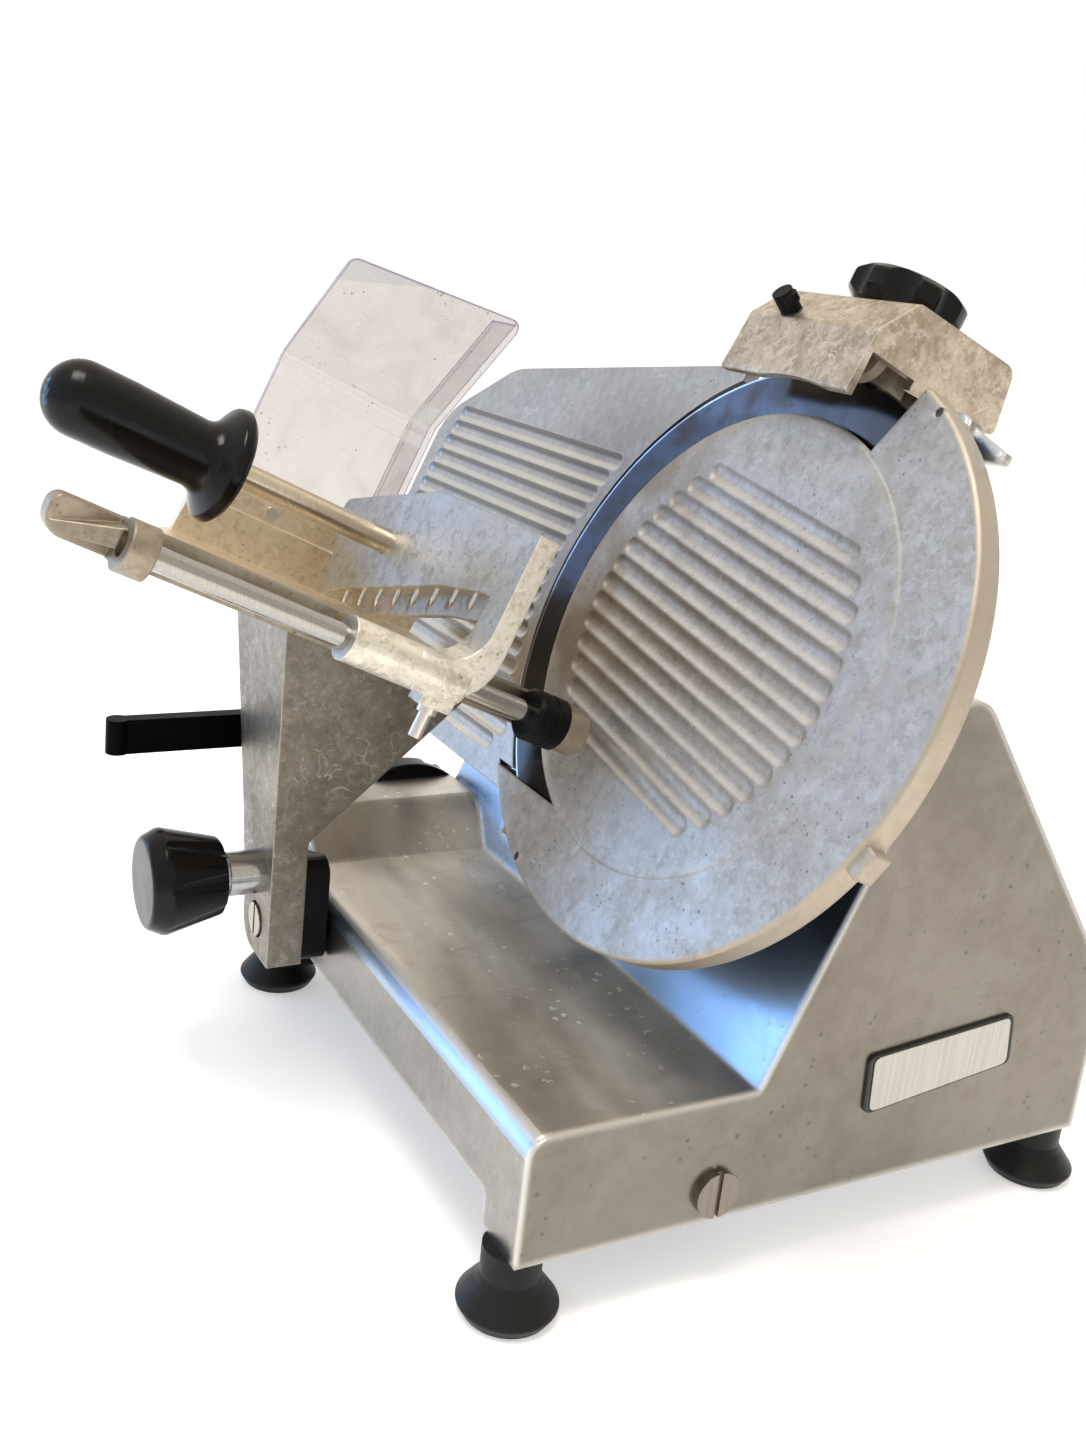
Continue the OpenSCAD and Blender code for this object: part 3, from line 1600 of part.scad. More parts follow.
// Places the button's axis where it leaves the sloping roof
module sharp_button_frame() {
  translate([button_y, button_u, button_n]) rotate([button_slope - 90, 0, 0]) children();
}

// House-shaped cast cover over the top of the blade
module sharpener_cover() {
  color([0.74, 0.7, 0.62]) on_blade() difference() {
    union() {
      difference() {
        along_n(sharp_y1, sharp_l)
          polygon(rounded(sharp_outline, [3, 0, 0, 1.5, 3, 3, 6]));
        along_n(sharp_y1 - sharp_t, sharp_l - 2 * sharp_t)
          polygon(concat(
            [for (i = [4:5]) inset(sharp_outline, sharp_t)[i]],
            [[sharp_in_n[0], sharp_u - sharp_t], [sharp_in_n[0], 90], [sharp_in_n[1], 90]]));
      }
      translate([post_y, sharp_u - 2, post_n]) rotate([90, 0, 0])
        cylinder(h = sharp_u - 2 - sharp_bracket_u - 2, r = sharp_boss_r);
    }
    peg(-80, 60, blade_room_r - 8);
    translate([-sharp_l, 90, -8]) cube([2 * sharp_l, 39.5, sharp_front_n - 3.4 + 8]);
    translate([grind_y, stone_u, 0])
      peg(sharp_in_n[0] - pin_seat[0], sharp_in_n[0] + 2, stone_bore_d / 2 + fit);
    translate([hone_y, stone_u, 0])
      peg(sharp_in_n[1] - 4, sharp_in_n[1] + pin_seat[1], stone_bore_d / 2 + fit);
    translate([post_y, sharp_u - 14, post_n]) rotate([90, 0, 0])
      cylinder(h = 80, d = post_d + 2 * fit);
    translate([star_y, sharp_u + cut, star_n]) rotate([90, 0, 0])
      cylinder(h = 11, d = 8 + 2 * fit);
    sharp_button_frame() translate([0, 0, -16]) cylinder(h = 40, d = sharp_button_d + 2 * fit);
  }
}

module sharpener_post() {
  color([0.8, 0.8, 0.82]) on_blade() translate([post_y, sharp_u - 15, post_n])
    rotate([90, 0, 0]) cylinder(h = sharp_u - 15 - sharp_bracket_u + post_seat, d = post_d);
}

star_points = 7;

// Lobed black knob on top of the sharpener
module star_knob() {
  color([0.06, 0.06, 0.07]) on_blade() translate([star_y, sharp_u + star_gap, star_n])
    rotate([-90, 0, 0]) {
      difference() {
        rotate_extrude()
          polygon(rounded([
            [0, 0],
            [star_r - 5, 0],
            [star_r, 5],
            [star_r, star_h - 3],
            [star_r - 4, star_h],
            [0, star_h]
          ], [0, 0, 2, 2, 3, 0]));
        for (i = [0:star_points - 1])
          rotate(i * 360 / star_points) translate([star_r + 6, 0, -cut])
            cylinder(h = star_h + 2 * cut, r = 10);
      }
      translate([0, 0, -9]) cylinder(h = 10, d = 8);
    }
}

sharp_button_h = 10;
sharp_button_travel = 3;

// Small black push button with a side wing
module sharpener_button() {
  color([0.05, 0.05, 0.06]) on_blade() sharp_button_frame() {
    translate([0, 0, -10]) cylinder(h = sharp_button_h + 10, d = sharp_button_d);
    translate([4, 0, sharp_button_travel + 2]) cylinder(h = sharp_button_h - sharp_button_travel - 3, r = 3.4);
  }
}

stone_t = 5;
stone_u = 132;
grind_y = -24;
grind_n = -11;
hone_y = 18;
hone_n = 3;
stone_bore_d = 6;

module stone(y, n, r) {
  on_blade() translate([y, stone_u, n]) difference() {
    cylinder(h = stone_t, r = r);
    translate([0, 0, -cut]) cylinder(h = stone_t + 2 * cut, d = stone_bore_d + 2 * fit);
  }
}

module grinding_stone() {
  color([0.55, 0.5, 0.45]) stone(grind_y, grind_n, 13);
}

module honing_stone() {
  color([0.6, 0.56, 0.5]) stone(hone_y, hone_n, 11);
}

// Fixed pins that the two stones turn on
module stone_pins() {
  color([0.75, 0.75, 0.76]) on_blade() {
    translate([grind_y, stone_u, 0])
      peg(sharp_in_n[0] - pin_seat[0], grind_n + stone_t, stone_bore_d / 2);
    translate([hone_y, stone_u, 0])
      peg(hone_n, sharp_in_n[1] + pin_seat[1], stone_bore_d / 2);
  }
}

body();
bottom_cover();
cover_plate_screws();
foot_1();
foot_2();
foot_3();
foot_4();
foot_studs();
guide_rod();
guide_plug();
slide_block();
slide_bushes();
carriage_arm();
arm_screw();
push_lever();
lock_knob();
lock_collar();
tray();
tray_screws();
pusher_rod();
rod_bumper();
pusher();
gripper_strip();
gripper_pins();
pusher_stop();
handle_rod();
handle_grip();
hand_guard();
guard_rivets();
blade();
blade_hub();
hub_screws();
shaft_bearings();
blade_pulley();
drive_belt();
motor();
motor_mount();
motor_shaft();
motor_pulley();
blade_cover();
cover_screws();
slice_deflector();
gauge_plate();
gauge_rods();
gauge_carrier();
thickness_dial();
dial_shaft();
switch_plate();
start_button();
stop_button();
cable_gland();
sharpener_cover();
sharpener_post();
star_knob();
sharpener_button();
grinding_stone();
honing_stone();
stone_pins();
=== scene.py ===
import math

import bpy
from mathutils import Matrix, Vector


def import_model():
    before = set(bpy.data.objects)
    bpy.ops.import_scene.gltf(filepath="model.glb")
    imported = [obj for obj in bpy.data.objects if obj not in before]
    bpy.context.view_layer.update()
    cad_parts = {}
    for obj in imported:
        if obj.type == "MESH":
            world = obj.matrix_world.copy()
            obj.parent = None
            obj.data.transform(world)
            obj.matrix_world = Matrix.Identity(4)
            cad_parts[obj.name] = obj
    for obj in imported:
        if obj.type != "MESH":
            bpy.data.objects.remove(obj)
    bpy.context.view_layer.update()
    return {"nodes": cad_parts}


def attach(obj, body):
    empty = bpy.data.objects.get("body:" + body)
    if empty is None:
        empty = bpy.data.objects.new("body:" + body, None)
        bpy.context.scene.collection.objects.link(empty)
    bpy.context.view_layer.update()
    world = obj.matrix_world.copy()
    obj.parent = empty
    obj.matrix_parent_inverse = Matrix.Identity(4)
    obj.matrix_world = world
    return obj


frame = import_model()
NODES = frame["nodes"]
SCENE = bpy.context.scene

# Blade frame: centre, and the directions out of the blade, up it and along the machine
MM = 0.001
TILT = math.radians(23)
SHIFT = Vector((79.215, 186.75, 0)) * MM
BLADE_AT = SHIFT + Vector((-116, -95, 239)) * MM
OUT = Vector((math.cos(TILT), 0, math.sin(TILT)))
UP = Vector((-math.sin(TILT), 0, math.cos(TILT)))
ALONG = Vector((0, 1, 0))
ACROSS = Vector((1, 0, 0))
UPRIGHT = Vector((0, 0, 1))
SHOULDER = Vector((0.707, 0, 0.707))

# Turns that lay a texture's long direction along y, along the blade's axis and along x
TURN_Y = (math.pi / 2, 0, 0)
TURN_N = (0, -(math.pi / 2 - TILT), 0)
TURN_X = (0, math.pi / 2, 0)

# Places where a finish changes, in metres in the blade frame, and along y for the rail
# Each pair is the start and the end of a smooth step
BLADE_EDGE = (0.1238, 0.1246)
COVER_RIM = (0.1335, 0.1358)
COVER_SIDE = (-0.0002, -0.0016)
# Where the cover's painted brown shadow and reflection lies, along y and up the blade
SHADE_ALONG = (-0.02, -0.075)
SHADE_UP = (-0.062, -0.03)
GUARD_STRIPS = (((0.036, 0.038), (0.051, 0.049)), ((0.026, 0.028), (0.035, 0.033)))
# Where the tray's painted shade begins along y
RAIL_START = (-0.06, 0.0)

# Softened edges in metres
CAST_EDGE = 0.0012
COVER_EDGE = 0.0022
BODY_EDGE = 0.005
# Width of the painted highlight on the base's edges
BODY_EDGE_HIGHLIGHT = 0.006
GUARD_EDGE = 0.0022

# Tones that are named for what they show
WHITE = (1, 1, 1, 1)
PIT_DARK = (0.05, 0.045, 0.04, 1)
CHIP_DARK = (0.075, 0.062, 0.048, 1)
CRUMB = (0.97, 0.96, 0.93, 1)
SPECK = (0.20, 0.16, 0.14, 1)
TAN_RIM = (0.52, 0.45, 0.35, 1)
# Painted brown shadow and reflection on the cover
BROWN_PAINTED_SHADE = (0.25, 0.195, 0.125, 1)
VIOLET_RIM = (0.22, 0.18, 0.46, 1)


# Material helpers

class Shader:
    """Small helper that builds one node material."""

    def __init__(self, name):
        self.mat = bpy.data.materials.new(name)
        self.mat.use_nodes = True
        self.tree = self.mat.node_tree
        self.bsdf = self.tree.nodes["Principled BSDF"]
        self.coords = self.node("ShaderNodeTexCoord").outputs["Object"]

    def node(self, kind, **props):
        made = self.tree.nodes.new(kind)
        for key, value in props.items():
            setattr(made, key, value)
        return made

    def link(self, source, target):
        self.tree.links.new(source, target)

    def put(self, socket, value):
        """Links a socket, or sets a plain value on it."""
        if isinstance(value, bpy.types.NodeSocket):
            self.link(value, socket)
        else:
            socket.default_value = value

    def math(self, operation, a, b=0.0, clamp=False):
        made = self.node("ShaderNodeMath", operation=operation, use_clamp=clamp)
        self.put(made.inputs[0], a)
        self.put(made.inputs[1], b)
        return made.outputs[0]

    def times(self, a, b):
        return self.math("MULTIPLY", a, b)

    def plus(self, a, b):
        return self.math("ADD", a, b)

    def most(self, a, b):
        return self.math("MAXIMUM", a, b)

    def dot(self, vector, direction):
        made = self.node("ShaderNodeVectorMath", operation="DOT_PRODUCT")
        self.put(made.inputs[0], vector)
        self.put(made.inputs[1], direction)
        return made.outputs["Value"]

    def mapped(self, scale, turn=(0, 0, 0), source=None):
        made = self.node("ShaderNodeMapping")
        self.put(made.inputs["Vector"], source or self.coords)
        made.inputs["Scale"].default_value = scale
        made.inputs["Rotation"].default_value = turn
        return made.outputs[0]

    def noise(self, scale, detail, rough=0.55, source=None, warp=0.0):
        made = self.node("ShaderNodeTexNoise")
        self.put(made.inputs["Vector"], source or self.coords)
        made.inputs["Scale"].default_value = scale
        made.inputs["Detail"].default_value = detail
        made.inputs["Roughness"].default_value = rough
        made.inputs["Distortion"].default_value = warp
        return made.outputs["Fac"]

    def cells(self, scale, source=None):
        """Distance from the middle of the nearest cell."""
        made = self.node("ShaderNodeTexVoronoi", feature="F1")
        self.put(made.inputs["Vector"], source or self.coords)
        made.inputs["Scale"].default_value = scale
        return made.outputs["Distance"]

    def step(self, value, low, high):
        """Smooth rise from 0 at low to 1 at high; low may be the larger."""
        made = self.node("ShaderNodeMapRange", interpolation_type="SMOOTHSTEP")
        self.put(made.inputs["Value"], value)
        made.inputs["From Min"].default_value = min(low, high)
        made.inputs["From Max"].default_value = max(low, high)
        made.inputs["To Min"].default_value = 0.0 if low < high else 1.0
        made.inputs["To Max"].default_value = 1.0 if low < high else 0.0
        return made.outputs["Result"]

    def mix(self, factor, a, b, blend_type="MIX"):
        made = self.node("ShaderNodeMix", data_type="RGBA", blend_type=blend_type)
        self.put(made.inputs[0], factor)
        self.put(made.inputs[6], a)
        self.put(made.inputs[7], b)
        return made.outputs[2]

    def tint(self, factor, colour, tone):
        """Colour multiplied by a tone, as far as the factor says."""
        return self.mix(factor, colour, tone, "MULTIPLY")

    def paint(self, colour, mask, tone, share):
        """Colour covered by a share of a tone where the mask is 1."""
        return self.mix(self.times(mask, share), colour, tone)

    def blend(self, factor, a, b):
        """Number between a and b."""
        made = self.node("ShaderNodeMix", data_type="FLOAT")
        self.put(made.inputs[0], factor)
        self.put(made.inputs[2], a)
        self.put(made.inputs[3], b)
        return made.outputs[0]

    def warped(self, scale, amount):
        """Object coordinates pushed about by a noise."""
        wave = self.node("ShaderNodeTexNoise")
        self.link(self.coords, wave.inputs["Vector"])
        wave.inputs["Scale"].default_value = scale
        wave.inputs["Detail"].default_value = 2.0
        made = self.node("ShaderNodeVectorMath", operation="MULTIPLY_ADD")
        self.link(wave.outputs["Color"], made.inputs[0])
        made.inputs[1].default_value = (amount, amount, amount)
        self.link(self.coords, made.inputs[2])
        return made.outputs[0]

    def flakes(self, scale):
        """Random tone in each irregular flake."""
        made = self.node("ShaderNodeTexVoronoi", feature="F1")
        self.link(self.warped(scale * 1.1, 3.0 / scale), made.inputs["Vector"])
        made.inputs["Scale"].default_value = scale
        return self.dot(made.outputs["Color"], (1, 0, 0))

    def curls(self, scale, width=0.016):
        """Fine curved marks, in patches."""
        wave = self.noise(scale, 2, 0.5, warp=1.6)
        offset = self.math("ABSOLUTE", self.math("SUBTRACT", wave, 0.5))
        line = self.step(offset, width, width * 0.3)
        return self.times(line, self.step(self.noise(17, 2), 0.48, 0.62))

    def dots(self, scale, size, patch_scale, patch, source=None):
        """Small dots in patches; size and patch are the limits of a smooth step."""
        spot = self.step(self.cells(scale, source), *size)
        return self.times(spot, self.step(self.noise(patch_scale, 3, 0.6), *patch))

    def facing(self, direction):
        """How far the surface faces a direction, from -1 to 1."""
        return self.dot(self.node("ShaderNodeNewGeometry").outputs["Normal"], direction)

    def softened(self, radius, samples):
        """Normal of the surface with its edges rounded by a radius."""
        made = self.node("ShaderNodeBevel", samples=samples)
        made.inputs["Radius"].default_value = radius
        return made.outputs[0]

    def edges(self, radius):
        """1 on convex edges and 0 on faces."""
        flat, sharp = 0.985, 0.80
        normal = self.node("ShaderNodeNewGeometry").outputs["Normal"]
        return self.step(self.dot(self.softened(radius, 6), normal), flat, sharp)

    def bump(self, height, distance, strength, radius=0.0):
        """Bump, over edges softened by a radius."""
        made = self.node("ShaderNodeBump")
        made.inputs["Strength"].default_value = strength
        made.inputs["Distance"].default_value = distance
        self.link(height, made.inputs["Height"])
        if radius > 0:
            self.link(self.softened(radius, 4), made.inputs["Normal"])
        self.link(made.outputs[0], self.bsdf.inputs["Normal"])

    def from_blade(self):
        """Place in metres from the blade's centre."""
        made = self.node("ShaderNodeVectorMath", operation="SUBTRACT")
        self.link(self.coords, made.inputs[0])
        made.inputs[1].default_value = BLADE_AT
        return made.outputs[0]

    def radius(self, place):
        """Distance from the blade's axis."""
        u, y = self.dot(place, UP), self.dot(place, ALONG)
        return self.math("SQRT", self.plus(self.times(u, u), self.times(y, y)))

    def rings(self, radius, pitch):
        """Fine rings at every radius."""
        made = self.node("ShaderNodeCombineXYZ")
        self.link(radius, made.inputs[0])
        return self.noise(1.0, 3, 0.6, self.mapped((pitch, 1, 1), source=made.outputs[0]))

    def finish(self, colour, rough, metallic=1.0, specular=0.5):
        self.put(self.bsdf.inputs["Base Color"], colour)
        self.put(self.bsdf.inputs["Roughness"], rough)
        self.bsdf.inputs["Metallic"].default_value = metallic
        self.bsdf.inputs["Specular IOR Level"].default_value = specular
        return self.mat


def grey(value, warmth=0.0):
    return (value * (1 + warmth), value, value * (1 - warmth), 1)


def scaled(tone, share):
    return tuple(c * share for c in tone[:3]) + (1,)


def weathered(s, base, stain_and_shade, bright, blotch, flake, curl, contrast):
    """Colour, dullness and height of old cast aluminium.

    It has clouds, flakes, stains, pits and curled marks. Blotch and flake are the scales of the
    clouds and flakes.
    """
    cloud = s.noise(blotch, 6, 0.62, warp=0.6)
    fine = s.noise(blotch * 9, 5, 0.7)
    dull = s.step(s.plus(s.times(cloud, 0.7), s.times(fine, 0.3)), 0.38, 0.66)
    mottle = s.noise(flake, 6, 0.72, warp=0.5)
    tone = s.blend(0.22 * contrast, mottle, s.flakes(flake * 1.3))
    spots = s.step(s.noise(flake * 0.3, 5, 0.75), 0.58, 0.70)
    pits = s.dots(250, (0.20, 0.11), 30, (0.50, 0.64))

    colour = s.mix(dull, base, stain_and_shade)
    colour = s.paint(colour, s.step(tone, 0.50, 0.70), bright, 0.35 * contrast)
    colour = s.paint(colour, s.step(tone, 0.50, 0.32), scaled(stain_and_shade, 0.6), 0.40 * contrast)
    colour = s.paint(colour, spots, scaled(stain_and_shade, 0.65), 0.30 * contrast)
    colour = s.paint(colour, pits, PIT_DARK, 0.5)
    colour = s.paint(colour, s.curls(62), bright, curl)

    height = s.plus(s.times(s.noise(1400, 3, 0.6), 0.5), s.times(fine, 0.5))
    height = s.math("SUBTRACT", height, s.times(pits, 1.2))
    return colour, dull, s.plus(height, s.times(tone, 0.25 * contrast))


def cast_metal(name, base, stain_and_shade, bright, rough, blotch, flake=190, curl=0.3, wear=0.5,
               contrast=1.0, tone=None, where=None):
    """Satin cast aluminium with bright worn edges.

    A tone paints shade on it where a function of the shader says.
    """
    s = Shader(name)
    colour, dull, height = weathered(s, base, stain_and_shade, bright, blotch, flake, curl, contrast)
    colour = s.paint(colour, s.edges(CAST_EDGE), bright, wear)
    # Painted shade, where the function says
    if where is not None:
        colour = s.tint(where(s), colour, tone)
    s.bump(height, 0.00014, 0.55, CAST_EDGE)
    return s.finish(colour, s.blend(dull, rough - 0.05, rough + 0.09))


def rail_part(s):
    """1 on the tray's rail and bosses behind its wall, where shade is painted."""
    return s.step(s.dot(s.coords, ALONG), *RAIL_START)


def pressing_side(s):
    """1 on faces that point out of the blade, where the pusher's painted blue-grey shade goes."""
    return s.step(s.facing(OUT), 0.6, 0.9)


def body_finish():
    """Brushed casting of the base.

    It has painted dull, warm shade on its rear faces, painted light on the deck, painted highlights
    on its edges, a lighter shoulder, and a painted blue reflection on the faces that point out to
    the blade.
    """
    s = Shader("body_finish")
    colour, dull, height = weathered(
        s, (0.36, 0.35, 0.335, 1), (0.29, 0.277, 0.26, 1), (0.74, 0.72, 0.68, 1),
        blotch=12, flake=300, curl=0.08, contrast=0.4)
    behind = s.step(s.facing(ALONG), 0.55, 0.9)
    above = s.step(s.facing(UPRIGHT), 0.75, 0.95)
    inward = s.step(s.facing(OUT), 0.93, 0.98)
    shoulder = s.step(s.facing(SHOULDER), 0.80, 0.93)
    shoulder = s.times(shoulder, s.math("SUBTRACT", 1.0, inward))

    scratch = s.noise(1.0, 3, 0.6, s.mapped((40, 40, 420), (0, 0.3, 0)))
    chips = s.dots(130, (0.17, 0.10), 20, (0.50, 0.58))
    # Painted warm shade for the faces that point to the rear, with real scratches and chips on it
    rear = s.mix(dull, (0.215, 0.192, 0.16, 1), (0.165, 0.144, 0.116, 1))
    rear = s.paint(rear, s.step(scratch, 0.66, 0.74), (0.10, 0.085, 0.068, 1), 0.35)
    rear = s.paint(rear, chips, CHIP_DARK, 0.7)

    # Painted light on the faces that point up, with darker smears and patches in it
    smear = s.noise(9, 4, 0.6, s.mapped((1.0, 0.35, 1.0)), warp=0.5)
    patch = s.noise(55, 5, 0.7, warp=0.6)
    deck = s.mix(s.step(smear, 0.36, 0.62), (0.94, 0.90, 0.84, 1), (0.50, 0.465, 0.41, 1))
    deck = s.paint(deck, s.step(patch, 0.50, 0.68), (0.38, 0.345, 0.29, 1), 0.34)

    # Painted shade on the rear faces
    colour = s.paint(colour, behind, rear, 0.8)
    # Painted light on the deck
    colour = s.paint(colour, above, deck, 0.85)
    # Painted blue reflection on the faces that point out to the blade
    colour = s.paint(colour, inward, (0.43, 0.58, 0.78, 1), 0.9)
    colour = s.paint(colour, shoulder, (0.86, 0.85, 0.83, 1), 0.7)
    crumbs = s.dots(135, (0.19, 0.13), 22, (0.45, 0.55), s.warped(420, 0.006))
    colour = s.paint(colour, crumbs, CRUMB, above)
    # Painted highlight along the convex edges
    colour = s.paint(colour, s.edges(BODY_EDGE_HIGHLIGHT), (0.86, 0.84, 0.80, 1), 0.9)
    s.bump(height, 0.0001, 0.5, BODY_EDGE)
    gloss = s.plus(s.blend(dull, 0.27, 0.36), s.times(s.most(above, shoulder), 0.1))
    return s.finish(colour, gloss)


def fluted_metal(name, base, stain_and_shade, bright, blotch, contrast, painted_shade, painted_light):
    """Cast aluminium with painted shade on the flutes' upper walls and painted light on their lower
    ones.
    """
    s = Shader(name)
    colour, dull, height = weathered(
        s, base, stain_and_shade, bright, blotch, flake=190, curl=0.25, contrast=contrast)
    slope = s.facing(UP)
    # Painted shade on the flute walls that face down
    colour = s.paint(colour, s.step(slope, -0.04, -0.4), scaled(stain_and_shade, 0.35), painted_shade)
    # Painted light on the flute walls that face up
    colour = s.paint(colour, s.step(slope, 0.04, 0.4), bright, painted_light)
    colour = s.paint(colour, s.edges(CAST_EDGE), bright, 0.3)
    return s, colour, dull, height


def gauge_finish():
    """Satin casting with narrow flutes."""
    s, colour, dull, height = fluted_metal(
        "gauge_finish", grey(0.45, 0.005), grey(0.37, 0.02), grey(0.76),
        blotch=16, contrast=0.7, painted_shade=1.0, painted_light=0.6)
    s.bump(height, 0.00012, 0.5, CAST_EDGE)
    return s.finish(colour, s.blend(dull, 0.27, 0.40))


def cover_finish():
    """Mottled raw casting, with tan rims and a painted brown shadow and reflection on its front
    side.
    """
    s, colour, dull, height = fluted_metal(
        "cover_finish", (0.50, 0.475, 0.445, 1), (0.42, 0.395, 0.365, 1), (0.68, 0.69, 0.715, 1),
        blotch=24, contrast=0.9, painted_shade=0.26, painted_light=0.35)
    place = s.from_blade()
    n, u, y = s.dot(place, OUT), s.dot(place, UP), s.dot(place, ALONG)
    rim = s.most(s.step(s.radius(place), *COVER_RIM), s.step(n, *COVER_SIDE))
    colour = s.paint(colour, rim, TAN_RIM, s.blend(dull, 0.9, 0.6))
    # Painted brown shadow and reflection on the cover's front side
    side = s.times(s.step(y, *SHADE_ALONG), s.step(u, *SHADE_UP))
    stain_and_shade = s.times(side, s.step(s.noise(20, 3, 0.5, warp=0.8), 0.34, 0.58))
    colour = s.paint(colour, stain_and_shade, BROWN_PAINTED_SHADE, 0.65)
    s.bump(height, 0.00016, 0.5, COVER_EDGE)
    return s.finish(colour, s.blend(dull, 0.46, 0.58))


def bright_steel(name, tone, rough, turn, pitch=1600):
    """Drawn or turned steel with fine marks along one direction."""
    s = Shader(name)
    lines = s.noise(1.0, 2, 0.5, s.mapped((pitch, pitch, 18), turn))
    haze = s.noise(40, 4, 0.6)
    colour = s.paint(tone, s.step(lines, 0.35, 0.7), scaled(tone, 0.72), 0.5)
    gloss = s.plus(s.times(haze, 0.16), s.times(lines, 0.1))
    s.bump(lines, 0.00004, 0.4, 0.0004)
    return s.finish(colour, s.plus(gloss, rough - 0.12))


def moulded(name, tone, rough, grain, dust, specular=0.5):
    """Moulded plastic, phenolic or rubber with a fine grain, smears and dust."""
    s = Shader(name)
    edge = 0.0008
    smear = s.noise(28, 5, 0.6, warp=1.0)
    worn = s.step(s.noise(120, 4, 0.7), 0.56, 0.72)
    pale = tuple(min(1, c + dust) for c in tone[:3]) + (1,)
    colour = s.paint(tone, worn, pale, 0.35)
    colour = s.paint(colour, s.edges(edge), pale, 0.3)
    gloss = s.plus(s.times(s.step(smear, 0.35, 0.7), 0.16), rough - 0.06)
    s.bump(s.noise(grain, 3, 0.6), 0.00008, 0.35, edge)
    return s.finish(colour, gloss, 0.0, specular)


def blade_finish():
    """Polished blade with fine rings and a thin bright edge."""
    s = Shader("blade_finish")
    radius = s.radius(s.from_blade())
    rings = s.rings(radius, 2600)
    film = s.step(s.noise(60, 5, 0.65), 0.45, 0.7)
    colour = s.mix(s.step(rings, 0.3, 0.75), (0.055, 0.05, 0.048, 1), (0.09, 0.083, 0.08, 1))
    colour = s.paint(colour, film, (0.085, 0.068, 0.055, 1), 0.35)
    colour = s.mix(s.step(radius, *BLADE_EDGE), colour, (0.45, 0.45, 0.46, 1))
    s.bump(rings, 0.00003, 0.5)
    return s.finish(colour, s.plus(s.times(film, 0.12), 0.15))


def clear_sheet():
    """Clear sheet with tinted edges, a faint film and specks."""
    s = Shader("clear_sheet")
    height = s.dot(s.from_blade(), UP)
    bands = s.most(*(s.times(s.step(height, *low), s.step(height, *high))
                     for low, high in GUARD_STRIPS))
    rim = s.edges(GUARD_EDGE)
    film = s.step(s.noise(34, 5, 0.65, warp=0.7), 0.42, 0.74)
    specks = s.dots(210, (0.15, 0.08), 40, (0.52, 0.62))
    lines = s.curls(48, 0.012)

    colour = s.mix(bands, (0.52, 0.44, 0.43, 1), (0.84, 0.81, 0.80, 1))
    colour = s.paint(colour, lines, (0.97, 0.96, 0.96, 1), 0.5)
    colour = s.mix(rim, colour, VIOLET_RIM)
    colour = s.mix(specks, colour, SPECK)
    alpha = s.plus(s.times(film, 0.08), 0.28)
    alpha = s.plus(alpha, s.times(bands, 0.12))
    alpha = s.plus(alpha, s.times(lines, 0.08))
    alpha = s.math("ADD", alpha, s.times(s.most(rim, specks), 0.5), clamp=True)
    s.put(s.bsdf.inputs["Alpha"], alpha)
    s.bump(s.noise(26, 2, 0.4), 0.0004, 0.15)
    return s.finish(colour, s.plus(s.times(film, 0.06), 0.08), 0.0, 0.25)


def stone_finish():
    """Bonded grit of the sharpening stones."""
    s = Shader("stone_finish")
    tone = (0.24, 0.20, 0.16, 1)
    grit = s.cells(1500)
    cloud = s.noise(90, 4, 0.6)
    colour = s.mix(s.step(s.times(grit, cloud), 0.05, 0.3), tone, scaled(tone, 1.5))
    s.bump(grit, 0.0003, 0.7)
    return s.finish(colour, 0.85, 0.0, 0.3)


# Castings: base, stained and bright tones
# The tray's rail and bosses get a painted shade
tray_cast = cast_metal(
    "tray_cast", (0.95, 0.84, 0.67, 1), (0.80, 0.69, 0.53, 1), (0.97, 0.92, 0.83, 1),
    rough=0.46, blotch=34, flake=210, wear=0.6, tone=(0.42, 0.41, 0.40, 1), where=rail_part)
arm_cast = cast_metal(
    "arm_cast", (0.265, 0.238, 0.20, 1), (0.20, 0.177, 0.146, 1), (0.58, 0.55, 0.50, 1),
    rough=0.42, blotch=30, flake=200, curl=0.6, wear=0.7, contrast=0.8)
sharp_cast = cast_metal(
    "sharp_cast", (0.60, 0.52, 0.415, 1), (0.43, 0.36, 0.275, 1), (0.78, 0.74, 0.68, 1),
    rough=0.44, blotch=38, flake=200, curl=0.6, wear=0.6, contrast=1.25)
# The pusher's faces that point out of the blade get a painted blue-grey shade
pusher_cast = cast_metal(
    "pusher_cast", (0.94, 0.90, 0.80, 1), (0.76, 0.71, 0.60, 1), (0.97, 0.93, 0.86, 1),
    rough=0.48, blotch=34, curl=0.5, wear=0.7, contrast=1.2,
    tone=(0.60, 0.62, 0.67, 1), where=pressing_side)
sheet_metal = cast_metal(
    "sheet_metal", grey(0.42), grey(0.36, 0.02), grey(0.6), rough=0.3, blotch=20)

# Steel and bronze: tone, roughness, direction of the marks and their pitch
rod_n = bright_steel("rod_n", (0.46, 0.445, 0.42, 1), 0.11, TURN_N)
rod_y = bright_steel("rod_y", grey(0.56), 0.13, TURN_Y)
champagne = bright_steel("champagne", (0.74, 0.66, 0.53, 1), 0.24, TURN_N, 1100)
turned = bright_steel("turned", grey(0.55), 0.16, TURN_X)
rivet_metal = bright_steel("rivet_metal", (0.80, 0.75, 0.67, 1), 0.3, TURN_Y, 900)
screw_metal = bright_steel("screw_metal", (0.40, 0.37, 0.33, 1), 0.26, TURN_Y, 900)
plug_metal = bright_steel("plug_metal", (0.27, 0.24, 0.205, 1), 0.28, TURN_Y, 900)
bronze = bright_steel("bronze", (0.50, 0.33, 0.12, 1), 0.24, TURN_Y, 900)
dark_screw = bright_steel("dark_screw", grey(0.10), 0.3, TURN_Y, 900)
